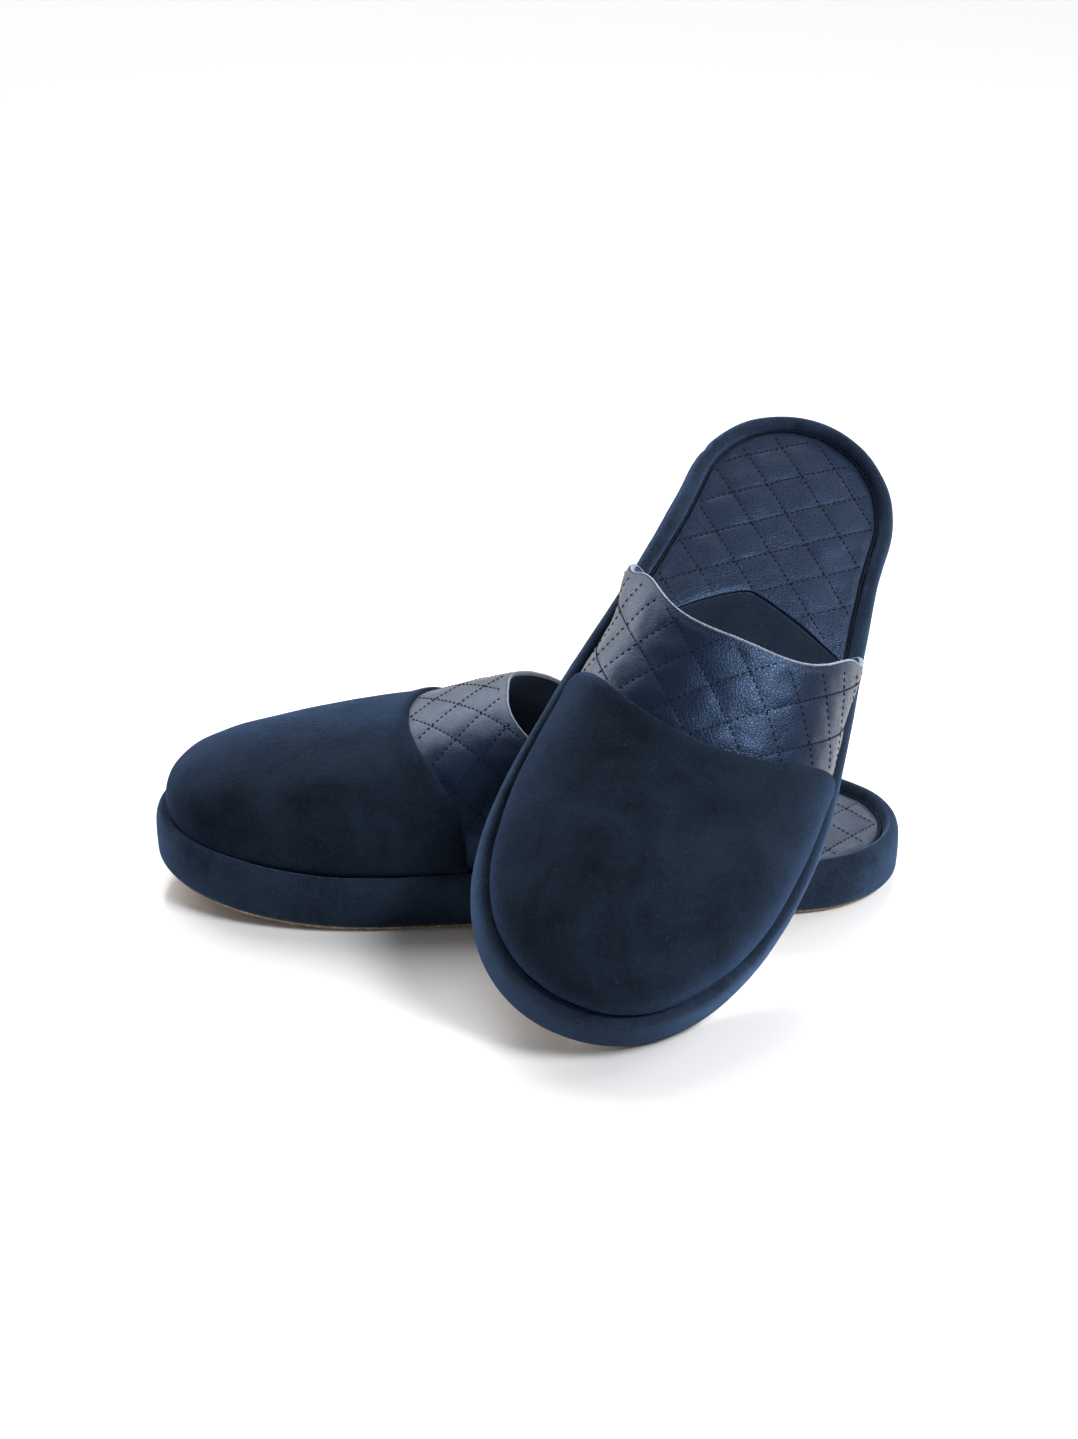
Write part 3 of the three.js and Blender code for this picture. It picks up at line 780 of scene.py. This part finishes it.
def sock(part, middle, directions, rings):
    """Closed pad over one footbed outline."""
    edge = sock_outline(part)
    angles = np.linspace(0, 2 * math.pi, directions, endpoint=False)
    reach = ray_lengths(middle, angles, edge)
    shares = np.sin(np.linspace(0.02, 1, rings) * math.pi / 2)
    unit = np.column_stack([np.cos(angles), np.sin(angles)])
    flat = np.concatenate([middle + unit * (reach * share)[:, None] for share in shares])
    z = sock_height(flat, edge)
    if part == "heel":
        swell = quilt(flat[:, 0], flat[:, 1], SOCK_PITCH, SOCK_PHASE) * SOCK_PUFF
        swell *= smooth(to_edge(flat, edge) / 3)
        z = z + swell + sock_creases(flat)
    else:
        z = z + wobble(np.column_stack([flat, 0 * z]), 24, 0.35, 4)
    top = np.column_stack([flat, z])
    floor = top[-directions:].copy()
    floor[:, 2] = SOCK_BASE + spring(floor[:, 0])
    above = [*middle, top[:directions, 2].mean()]
    below = [*middle, SOCK_BASE + float(spring(middle[0]))]
    points = np.concatenate([top, floor, [above, below]])
    faces = grid_faces(rings + 1, directions, wrap_columns=True)
    low = rings * directions
    for k in range(directions):
        after = (k + 1) % directions
        faces.append([after, k, len(points) - 2])
        faces.append([low + k, low + after, len(points) - 1])
    return points, outward(points, faces)


# %% [markdown]
# The stitches have to lie exactly in the dips, so they come from the same two sets of lines. We
# walk along each seam in steps of one stitch and keep what falls inside the piece.

# %% Stitch places
def seam_rows(pitch, phase, family, u_range, v_range):
    """Stitch places (u, v) along every seam of one family that crosses the ranges."""
    c, s = math.cos(QUILT_ANGLE), math.sin(QUILT_ANGLE)
    sign = -1 if family == 0 else 1
    reach = 2 * max(abs(u_range[1] - u_range[0]), abs(v_range[1] - v_range[0]))
    middle_u, middle_v = np.mean(u_range), np.mean(v_range)
    base = middle_u * s + sign * middle_v * c
    rows = []
    for k in range(-30, 31):
        level = phase[family] + k * pitch
        if abs(level - base) > reach:
            continue
        t = np.arange(-reach, reach, STITCH_PITCH)
        normal = np.array([s, sign * c]) / math.hypot(s, c)
        along = np.array([-normal[1], normal[0]])
        start = np.array([middle_u, middle_v]) + normal * (level - base) / math.hypot(s, c)
        places = start + t[:, None] * along
        inside = ((places[:, 0] > u_range[0]) & (places[:, 0] < u_range[1])
                  & (places[:, 1] > v_range[0]) & (places[:, 1] < v_range[1]))
        rows.append((places[inside], along))
    return rows


# %% Footbed stitches
def sock_stitches():
    """Stitches along the seams of the heel sock."""
    edge = sock_outline("heel")
    centres, along = [], []
    for family in (0, 1):
        for places, direction in seam_rows(SOCK_PITCH, SOCK_PHASE, family, (6, 135), (-40, 40)):
            if not len(places):
                continue
            inside = (places[:, 0] < arch_x(places[:, 1]) - 2.4) & (to_edge(places, edge) > 1.6)
            inner = side_at("inner", places[:, 0], SOCK_INSET + 1.6)
            outer = side_at("outer", places[:, 0], SOCK_INSET + 1.6)
            inside &= (places[:, 1] < inner) & (places[:, 1] > outer)
            inside &= places[:, 0] > SOCK_INSET + 2
            kept = places[inside]
            z = sock_height(kept, edge) + sock_creases(kept)
            centres.append(np.column_stack([kept, z + 0.1]))
            along.append(np.tile([*direction, 0.0], (len(kept), 1)))
    centres, along = np.concatenate(centres), np.concatenate(along)
    return stitches(centres, along, np.tile([0.0, 0.0, 1.0], (len(centres), 1)))


# %% Make the footbed
for side in PLACE:
    piece(side, "heel_sock", *sock("heel", np.array([52.0, 0.0]), 220, 58),
          LEATHER, "quilted_leather", fill=0.6)
    piece(side, "toe_sock", *sock("toe", np.array([190.0, 4.0]), 160, 26), VELOUR, "velour")
    piece(side, "heel_sock_stitches", *sock_stitches(), THREAD, "thread", replaces=False)
print(made[-3:])

# %% [markdown]
# The upper and the sock are sewn to the cover at the bottom of the groove. That seam is one long
# row of fat stitches, drawn as a cord that narrows where the needle went in.

# %% Groove seam
GROOVE_INSET, GROOVE_Z, GROOVE_RADIUS, GROOVE_PITCH = 6.9, 18.0, 0.4, 3.4
NEEDLE_PINCH = 0.55


def groove_seam():
    """Cord round the groove, narrower at every needle hole."""
    path = ring(GROOVE_INSET, GROOVE_Z)
    steps = np.linalg.norm(np.roll(path, -1, axis=0) - path, axis=1)
    distance = np.concatenate([[0], np.cumsum(steps)])
    count = int(distance[-1] / GROOVE_PITCH)
    along = np.arange(count * 4) * distance[-1] / (count * 4)
    closed = np.vstack([path, path[:1]])
    line = np.column_stack([np.interp(along, distance, closed[:, k]) for k in range(3)])
    tangent = np.roll(line, -1, axis=0) - np.roll(line, 1, axis=0)
    tangent /= np.linalg.norm(tangent, axis=1, keepdims=True)
    side_way = np.cross(tangent, [0, 0, 1])
    radius = GROOVE_RADIUS * np.where(np.arange(len(line)) % 4 == 0, NEEDLE_PINCH, 1.0)
    sides = 6
    points = []
    for k in range(sides):
        angle = 2 * math.pi * k / sides
        offset = side_way * math.cos(angle) + np.array([0, 0, 1]) * math.sin(angle)
        points.append(line + offset * radius[:, None])
    points = np.concatenate(points)
    return points, outward(points, grid_faces(sides, len(line), wrap_rows=True, wrap_columns=True))


for side in PLACE:
    piece(side, "seam_thread", *groove_seam(), THREAD, "thread")
print(made[-1:])

# %% [markdown]
# ## The upper
# The upper is a dome over the toes. Modelled by hand, its layers would soon cut through each other.
# So all of them, from the leather outside to the lining, are one formula drawn a little further in.
# A grid of rows covers it: rows run lengthwise, from one side over the ridge to the other, and at
# both sides a few more rows tuck down into the groove.

# %% Rows of the upper
TUCK_STEPS = np.linspace(0, 1, 7)[1:]
ANGLES = np.linspace(0, math.pi, 161)
TUCK_DEPTH = 2.4
FINE_ROWS = (np.concatenate([np.zeros(len(TUCK_STEPS)), ANGLES, np.full(len(TUCK_STEPS), math.pi)]),
             np.concatenate([TUCK_STEPS[::-1], np.zeros(len(ANGLES)), TUCK_STEPS]))
COARSE_ROWS = tuple(row[::2] for row in FINE_ROWS)
SEAM_X = LENGTH - SEAM_TO_TOE
print("rows:", len(FINE_ROWS[0]), "fine,", len(COARSE_ROWS[0]), "coarse")

# %% [markdown]
# Seen from the front, each slice is a rounded arch standing on the sole's outline. Its ridge rises
# steeply from the toe and gently to the opening. The opening sweeps back at both sides to a
# shoulder, and there the loose corners spread outward a little.

# %% Shape of the upper
FLARE = {"inner": 5.5, "outer": 2.5}  # how far the corners of the opening spread outward
FLARE_RISE, FLARE_REACH = 13, 26


def topline_x(angle):
    """Edge of the opening, at an angle round the arch from the big toe's side."""
    cos = np.abs(np.cos(angle))
    sweep = TOPLINE_SWEEP[0] * cos ** TOPLINE_SWEEP[1]
    side = sweep / (1 + (sweep / SHOULDER_BACK) ** 6) ** (1 / 6)  # levels off at the shoulder
    return LENGTH - TOPLINE_TO_TOE - side - TOPLINE_END[0] * cos ** TOPLINE_END[1]


def seam_x(angle):
    """Toe seam, in the same way."""
    return SEAM_X - SEAM_SWEEP * np.cos(angle) ** 2


def ridge(x, depth):
    """Height of the dome's ridge above its widest line."""
    toe = LENGTH - UPPER_INSET - depth
    share = np.clip((toe - x) / (toe - SEAM_X), 0, 1)
    rounded = (1 - (1 - share) ** TOE_RISE_POWER) ** (1 / TOE_RISE_POWER)
    rise = (1 - TOE_STRAIGHT) * rounded + TOE_STRAIGHT * share
    slope = (TOPLINE_HEIGHT - SEAM_HEIGHT) / (TOPLINE_TO_TOE - SEAM_TO_TOE)
    return rise * (SEAM_HEIGHT - EQUATOR - depth) + slope * np.clip(SEAM_X - x, 0, None)


def inset_at(depth, tuck):
    """Inset of a layer from the sole's outline, where it is widest and where it tucks in."""
    return np.round(UPPER_INSET + depth + TUCK_DEPTH * tuck**1.5, 2)


def dome(x, angle, depth, tuck=0.0):
    """Points of the upper for arrays of x, angle, depth and tuck."""
    x, angle, depth, tuck = np.broadcast_arrays(x, angle, depth, tuck)
    inset = inset_at(depth, tuck)
    left, right = side_at("inner", x, inset), side_at("outer", x, inset)
    cos, sin = np.cos(angle), np.clip(np.sin(angle), 0, 1) * (tuck == 0)
    across = np.sign(cos) * np.abs(cos) ** (2 / FULLNESS)
    rise = ridge(x, depth) * sin ** (2 / FULLNESS)
    peak = rise / FLARE_RISE * np.exp(1 - rise / FLARE_RISE)
    spread = np.where(cos > 0, FLARE["inner"], FLARE["outer"])
    flare = spread * smooth(1 - (x - topline_x(angle)) / FLARE_REACH) * peak * cos
    y = (left + right) / 2 + across * (left - right) / 2 + flare
    z = EQUATOR + rise - tuck**0.75 * (EQUATOR - UPPER_FOOT) + spring(x)
    return np.stack([x, y, z], axis=-1)


print("opening is", round(LENGTH - float(topline_x(math.pi / 2)), 1), "mm from the toe")

# %% [markdown]
# The rows are cut into stations, some between the opening and the toe seam and some between the
# seam and the toe. An outer and an inner grid, joined along their edges, make a closed shell. At
# the toe all rows meet in one point, so points that coincide there are merged.

# %% Shells
def band_x(share, rows):
    """x of every row at a share of the way from the opening to the toe seam."""
    return (1 - share) * topline_x(rows[0]) + share * seam_x(rows[0])


def toe_x(share, depth, rows):
    """x of every row at a share of the way from the toe seam to the toe."""
    start = seam_x(rows[0])
    end = LENGTH - inset_at(depth, rows[1])
    return start + (end - start) * math.sin(share * math.pi / 2)


def shell(outer, inner, closed_toe):
    """Closed body between two grids of points (station, row)."""
    stations, across = outer.shape[:2]
    points = np.concatenate([outer.reshape(-1, 3), inner.reshape(-1, 3)])
    second = stations * across
    faces = grid_faces(stations, across) + grid_faces(stations, across, second, flip=True)
    for s in range(stations - 1):
        a, b = s * across, (s + 1) * across
        faces.append([a, b, second + b, second + a])
        a, b = a + across - 1, b + across - 1
        faces.append([b, a, second + a, second + b])
    for r in range(across - 1):
        faces.append([r + 1, r, second + r, second + r + 1])
        if not closed_toe:
            a = (stations - 1) * across + r
            faces.append([a, a + 1, second + a + 1, second + a])
    return welded(points, faces)


def welded(points, faces):
    """Merges points that coincide, and drops faces that collapse."""
    keys = np.round(points, 3)
    _, first, index = np.unique(keys, axis=0, return_index=True, return_inverse=True)
    index = index.reshape(-1)
    kept = []
    for face in faces:
        corners = list(dict.fromkeys(int(index[i]) for i in face))
        if len(corners) > 2:
            kept.append(corners)
    merged = points[first]
    return merged, outward(merged, kept)


# %% [markdown]
# ### Quilted band
# The band was quilted flat and then sewn into its curve. To lay diamonds on it we need that flat
# pattern back. The distance round the arch from its ridge, and the distance along the slipper,
# serve as its two directions.

# %% Flat pattern of the band
def around(x, depth=0.0):
    """Distance round the arch from the ridge to each of ANGLES, at each x."""
    slices = dome(np.asarray(x)[..., None], ANGLES, depth)
    steps = np.linalg.norm(np.diff(slices, axis=-2), axis=-1)
    total = np.concatenate([np.zeros(steps.shape[:-1] + (1,)), np.cumsum(steps, axis=-1)], axis=-1)
    return total - total[..., len(ANGLES) // 2, None]


def band_around(x):
    """Distance round the arch for a grid of x (station, row)."""
    columns = np.clip(np.arange(x.shape[1]) - len(TUCK_STEPS), 0, len(ANGLES) - 1)
    return np.stack([around(x[:, row])[:, column] for row, column in enumerate(columns)], axis=1)


print("round the arch at the toe seam:", round(float(np.ptp(around(SEAM_X))), 1), "mm")


# %% [markdown]
# On top of the quilting the leather is a little uneven: broad soft waves from the padding, and
# small folds that fade towards the opening. Every point moves along the direction the leather
# faces there.

# %% Band shape
BAND_PITCH, BAND_PUFF, BAND_PINCH = 14.0, 0.3, 0.15
BAND_PHASE = (2.6, 10.3)
BAND_DEPTH = 1.1
BAND_FOLDS, BAND_WAVES = (7, 0.30, 5), (40, 0.6, 6)  # size, height and seed
SEAM_STATIONS = 1 + np.linspace(0, 0.05, 4)[1:]  # a short way on, under the toe cover


def band_relief(flat, from_top):
    """Soft unevenness of the padded leather, in mm outward."""
    points = flat.reshape(-1, 3)
    folds = wobble(points, *BAND_FOLDS) * smooth(from_top.reshape(-1) / 4)
    return (folds + wobble(points, *BAND_WAVES)).reshape(from_top.shape) - BAND_PINCH


def band_points():
    """The quilted band as a closed shell."""
    angles, tucks = FINE_ROWS
    shares = np.concatenate([np.linspace(0, 1, 62), SEAM_STATIONS])
    x = np.array([band_x(s, FINE_ROWS) if s <= 1 else toe_x(s - 1, 0, FINE_ROWS) for s in shares])
    from_top, from_seam = x - topline_x(angles), seam_x(angles) - x
    swell = BAND_PUFF * quilt(x, band_around(x), BAND_PITCH, BAND_PHASE)
    swell *= smooth(from_top / 3) * smooth((from_seam + 1) / 5) * (1 - 0.8 * tucks)
    flat = dome(x, angles, 0.0, tucks)
    outer = flat + normals_of_grid(flat) * (swell + band_relief(flat, from_top))[..., None]
    return shell(outer, dome(x, angles, BAND_DEPTH, tucks), False)


def normals_of_grid(grid):
    """Outward direction at each point of a (station, row) grid."""
    along = np.gradient(grid, axis=0)
    across = np.gradient(grid, axis=1)
    facing = np.cross(across, along)
    facing /= np.linalg.norm(facing, axis=-1, keepdims=True) + 1e-9
    middle = grid[:, grid.shape[1] // 2, :].mean(axis=0) - [0, 0, 40]
    flip = np.sign(np.einsum("ijk,ijk->ij", facing, grid - middle))
    return facing * flip[..., None]


# %% [markdown]
# The band's stitches are laid out on the flat pattern too. A table of slices takes each place on
# the pattern back to its angle round the arch, and so to a point on the leather.

# %% Band stitches
def band_stitches():
    """Stitches along the seams of the band, on the same pattern."""
    table_x = np.linspace(topline_x(0.0), SEAM_X + 2, 60)
    table_v = around(table_x)
    table_points = dome(table_x[:, None], ANGLES, 0.0)
    facing_table = normals_of_grid(table_points)

    def lookup(u, v):
        """Angle and points for pattern places."""
        place_in = np.interp(u, table_x, np.arange(len(table_x)))
        place_in = np.clip(place_in, 0, len(table_x) - 1.001)
        low = place_in.astype(int)
        share = place_in - low
        angle = np.empty(len(u))
        for i in range(len(u)):
            line = (1 - share[i]) * table_v[low[i]] + share[i] * table_v[low[i] + 1]
            angle[i] = np.interp(v[i], line, ANGLES)
        column = np.interp(angle, ANGLES, np.arange(len(ANGLES))).round().astype(int)
        return angle, facing_table[low, column]

    centres, along, up = [], [], []
    u_range, v_range = (table_x[0], table_x[-1]), (table_v.min(), table_v.max())
    for family in (0, 1):
        for places, direction in seam_rows(BAND_PITCH, BAND_PHASE, family, u_range, v_range):
            if len(places) < 2:
                continue
            u, v = places[:, 0], places[:, 1]
            angle, facing = lookup(u, v)
            next_angle = lookup(u + 0.5 * direction[0], v + 0.5 * direction[1])[0]
            here = dome(u, angle, 0.0)
            ahead = dome(u + 0.5 * direction[0], next_angle, 0.0)
            inside = ((u > topline_x(angle) + 2.0) & (u < seam_x(angle) - 0.8)
                      & (angle > 0.02) & (angle < math.pi - 0.02))
            way = ahead - here
            way /= np.linalg.norm(way, axis=1, keepdims=True) + 1e-9
            lift = band_relief(here, u - topline_x(angle)) + 0.12
            lifted = here + facing * lift[:, None]
            centres.append(lifted[inside])
            along.append(way[inside])
            up.append(facing[inside])
    return stitches(np.concatenate(centres), np.concatenate(along), np.concatenate(up))


# %% [markdown]
# The left slipper rests on the right one's instep, so the soft leather gives way there. Whatever
# would reach into the left tread is pushed back along the tread's own down direction, to lie just
# under it.

# %% Rest of the left slipper
CLEARANCE, MARGIN = 0.1, 6.0


def pressed(side, points, faces):
    """Right slipper's points, flattened under the left tread."""
    if side == "left":
        return points, faces
    to_left = np.array(PLACE["left"].inverted() @ PLACE["right"])
    there = points @ to_left[:3, :3].T + to_left[:3, 3] / MM
    x, y, z = there[:, 0], -there[:, 1], there[:, 2]  # the left slipper is mirrored
    covered = (y < side_at("inner", x, -MARGIN)) & (y > side_at("outer", x, -MARGIN))
    covered &= (x > 0) & (x < LENGTH)
    push = np.where(covered, np.clip(z - spring(x) + CLEARANCE, 0, None), 0)
    print("pushed down by up to", round(push.max(), 2), "mm")
    return points - push[:, None] * to_left[2, :3], faces


# %% Make the band
for side in PLACE:
    piece(side, "quilted_band", *pressed(side, *band_points()),
          LEATHER, "quilted_leather", fill=0.5)
    piece(side, "quilted_band_stitches", *pressed(side, *band_stitches()),
          THREAD, "thread", replaces=False)
print(made[-2:])

# %% [markdown]
# ### Toe cover
# The velour toe cover is sewn on inside out and turned, so its rear edge is a soft fold that
# stands a little above the band. We put more stations there, and let the outer face curl down to
# the inner one. The pile and the padding make the rest full, with faint hollows.

# %% Toe cover
COVER_OUT, COVER_IN = -1.5, -0.3
FOLD, FOLD_SWELL = 1.6, 0.55
COVER_HOLLOWS = ((38, 0.9, 7), (13, 0.25, 8))  # size, height and seed


def toe_shares(count):
    """Shares of the way from the toe seam to the toe, close together at the fold."""
    near = np.array([0, 0.1, 0.25, 0.45, 0.7, 1.0]) * 0.02
    return np.concatenate([near, np.linspace(0.03, 1, count)])


def toe_cover_points():
    """The toe cover as a closed shell."""
    angles, tucks = FINE_ROWS
    shares = toe_shares(48)
    outer, inner = [], []
    for share in shares:
        x = toe_x(share, COVER_OUT, FINE_ROWS)
        fold = np.clip(1 - (x - seam_x(angles)) / FOLD, 0, 1)
        depth = COVER_OUT + (COVER_IN - COVER_OUT) * (1 - np.sqrt(1 - fold**2))
        outer.append(dome(x, angles, np.round(depth, 2), tucks))
        inner.append(dome(toe_x(share, COVER_IN, FINE_ROWS), angles, COVER_IN, tucks))
    outer, inner = np.array(outer), np.array(inner)
    facing = normals_of_grid(outer)
    facing[-1] = (1, 0, 0)  # the tip of the toe moves as one point
    from_seam = outer[..., 0] - seam_x(angles)
    roll = FOLD_SWELL * np.exp(-(((from_seam - 3.5) / 2.6) ** 2))
    flat = outer.reshape(-1, 3)
    soft = wobble(flat, *COVER_HOLLOWS[0]) + wobble(flat, *COVER_HOLLOWS[1])
    lift = (soft.reshape(roll.shape) * smooth(from_seam / 6) + roll) * (1 - tucks) ** 0.5
    lift[-3:] = lift[-3:].mean(axis=1, keepdims=True)
    return shell(outer + facing * lift[..., None], inner, True)


for side in PLACE:
    piece(side, "toe_cover", *toe_cover_points(), VELOUR, "velour", fill=0.7)
print(made[-1:])

# %% [markdown]
# ### Padding and lining
# The foam padding is hidden, and the lining shows only inside the opening. Both follow the dome at
# greater depths. At the opening the lining comes up to the band, where the foam ends.

# %% Padding and lining
def layer(stations):
    """Shell through stations of share, outer depth and inner depth.

    A share above 1 lies under the toe cover."""
    angles, tucks = COARSE_ROWS
    outer, inner = [], []
    for share, out, into in stations:
        for faces, depth in ((outer, out), (inner, into)):
            x = band_x(share, COARSE_ROWS) if share <= 1 else toe_x(share - 1, depth, COARSE_ROWS)
            faces.append(dome(x, angles, depth, tucks))
    return shell(np.array(outer), np.array(inner), True)


def padding_points():
    """Foam between the outside and the lining."""
    under_band = [(share, 1.4, 3.6) for share in np.linspace(1 / 3, 1, 8)]
    under_toe = [(1 + share, 1.4 if share < 0.08 else 0.2, 3.6)
                 for share in np.linspace(0.06, 1, 16)]
    return layer(under_band + under_toe)


def lining_points():
    """Cloth inside the upper."""
    rise = [(share, round(1.3 + 2.7 * float(smooth(share * 3)), 2))
            for share in np.linspace(0, 1, 22)]
    under_toe = [(1 + share, 4.0) for share in np.linspace(0.04, 1, 26)]
    return layer([(share, out, out + 0.9) for share, out in rise + under_toe])


# %% [markdown]
# ### Binding
# A narrow strip folded over the edge of the opening hides the ends of all layers. Its section is a
# small rounded lip, carried along the same edge. A little unevenness keeps it from looking like
# wire.

# %% Binding
BINDING_REACH, BINDING_DEPTH = 1.1, 1.9


def binding_points():
    """Rounded lip along the opening, from the band's face to the lining's."""
    angles, tucks = FINE_ROWS
    stations = []
    for turn in np.linspace(0, 2 * math.pi, 8, endpoint=False):
        back = 0.6 + BINDING_REACH / 2 * math.cos(turn)
        depth = round(BINDING_DEPTH / 2 * (1 + math.sin(turn)), 2)
        stations.append(dome(topline_x(angles) - back, angles, depth, tucks))
    grid = np.array(stations)
    points = grid.reshape(-1, 3)
    points = points + wobble(points, 5, 0.3, 9)[:, None] * np.array([0.3, 0.3, 1.0])
    across = len(angles)
    faces = grid_faces(len(stations), across, wrap_rows=True)
    faces.append([station * across for station in range(len(stations))])
    faces.append([station * across + across - 1 for station in range(len(stations))][::-1])
    return points, outward(points, faces)


for side in PLACE:
    piece(side, "vamp_padding", *padding_points(), FOAM, "foam", fill=0.6)
    piece(side, "vamp_lining", *lining_points(), LINING, "lining")
    piece(side, "topline_binding", *pressed(side, *binding_points()), EDGE, "edge")
print(made[-3:])

# %% [markdown]
# ## Floor, light and camera
# The slippers stand on a plain white sweep. A backdrop behind it would need its own mesh, so the
# floor simply runs on, far past the edge of the picture. It is slightly glossy, like coated paper.

# %% Floor
FLOOR_SIZE = 60.0
bpy.ops.mesh.primitive_plane_add(size=FLOOR_SIZE, location=(0, 0, -0.0002))
floor = bpy.context.object
floor.name = "floor"
floor_finish = bpy.data.materials.new("white_floor")
floor_finish.use_nodes = True
floor_shader = floor_finish.node_tree.nodes["Principled BSDF"]
floor_shader.inputs["Base Color"].default_value = (0.90, 0.90, 0.91, 1)
floor_shader.inputs["Roughness"].default_value = 0.2
floor_shader.inputs["Specular IOR Level"].default_value = 0.5
floor.data.materials.append(floor_finish)
print("floor:", FLOOR_SIZE, "m square")

# %% [markdown]
# The light comes mostly from above and behind, as in a studio with a lit backdrop. The room itself
# is bright behind the slippers and dim in front of them, so the leather picks up pale reflections
# at its far edges and stays dark in the middle, and the velour glows along its outline.

# %% Room
DIM, BRIGHT = 0.20, 1.05  # in front of the slippers, and the white backdrop behind them

sky = bpy.data.worlds.new("white_backdrop")
sky.use_nodes = True
sky_tree = sky.node_tree
ahead = node(sky_tree, "TexCoord")
parts = node(sky_tree, "SeparateXYZ")
strength = node(sky_tree, "MapRange", interpolation_type="SMOOTHSTEP", From_Min=0.15, From_Max=0.75,
                To_Min=DIM, To_Max=BRIGHT)
sky_tree.links.new(ahead.outputs["Generated"], parts.inputs["Vector"])
sky_tree.links.new(parts.outputs["Y"], strength.inputs["Value"])
sky_tree.links.new(strength.outputs["Result"], sky_tree.nodes["Background"].inputs["Strength"])
sky_tree.nodes["Background"].inputs["Color"].default_value = (0.96, 0.98, 1.0, 1)
bpy.context.scene.world = sky
print("room brightness from", DIM, "to", BRIGHT)


# %% [markdown]
# A broad sun from behind gives the soft shadow that falls forward. One lamp in front makes the
# highlight on the instep, and two weak ones at the sides light the rims.

# %% Lamps
def lamp(name, kind, spot, aim, **settings):
    """Lamp at a spot that points at aim."""
    data = bpy.data.lights.new(name, kind)
    for key, value in settings.items():
        setattr(data, key, value)
    thing = bpy.data.objects.new(name, data)
    thing.location = spot
    thing.rotation_euler = (Vector(aim) - Vector(spot)).to_track_quat("-Z", "Y").to_euler()
    bpy.context.scene.collection.objects.link(thing)


lamp("back", "SUN", (-0.25, 1.0, 1.1), (0, 0, 0), energy=2.3, angle=math.radians(50))
lamp("front_right", "AREA", (0.95, -0.6, 1.2), (0, 0, 0.06), energy=23, size=0.5)
lamp("left_back", "AREA", (-1.1, 0.9, 0.55), (0, 0, 0.06), energy=8, size=0.7)
lamp("right_back", "AREA", (1.2, 0.6, 0.7), (0, 0, 0.06), energy=8, size=0.6)
print("lamps:", sorted(data.name for data in bpy.data.lights))

# %% [markdown]
# The camera looks down on the pair from the side of the right slipper's big toe, from under a metre
# away, so the nearer slipper is a little larger. It is placed by its angles and distance, because
# those can be read like a tripod's. Its aim is measured from the back of the right heel.

# %% Camera
ELEVATION, TURN, DISTANCE = 25.28, 1.43, 0.8557
LENS = 55.8
AIM = (-0.1388, 0.00885, 0.05645)  # from the back of the right heel

heel = PLACE["right"].translation
aim = heel + Vector(AIM)
tilt, turn = math.radians(ELEVATION), math.radians(TURN)
look = Vector((-math.sin(turn) * math.cos(tilt), math.cos(turn) * math.cos(tilt), -math.sin(tilt)))
camera_data = bpy.data.cameras.new("camera")
camera_data.lens = LENS
camera_data.sensor_width = 36
camera_data.sensor_fit = "AUTO"
camera = bpy.data.objects.new("camera", camera_data)
camera.location = aim - look * DISTANCE
camera.rotation_euler = look.to_track_quat("-Z", "Y").to_euler()
bpy.context.scene.collection.objects.link(camera)
bpy.context.scene.camera = camera
bpy.context.scene.view_settings.view_transform = "Standard"
print("camera stands at", [round(value, 3) for value in camera.location])

# %% Sizes and finish
print("faces:", sum(count for _, count in made))
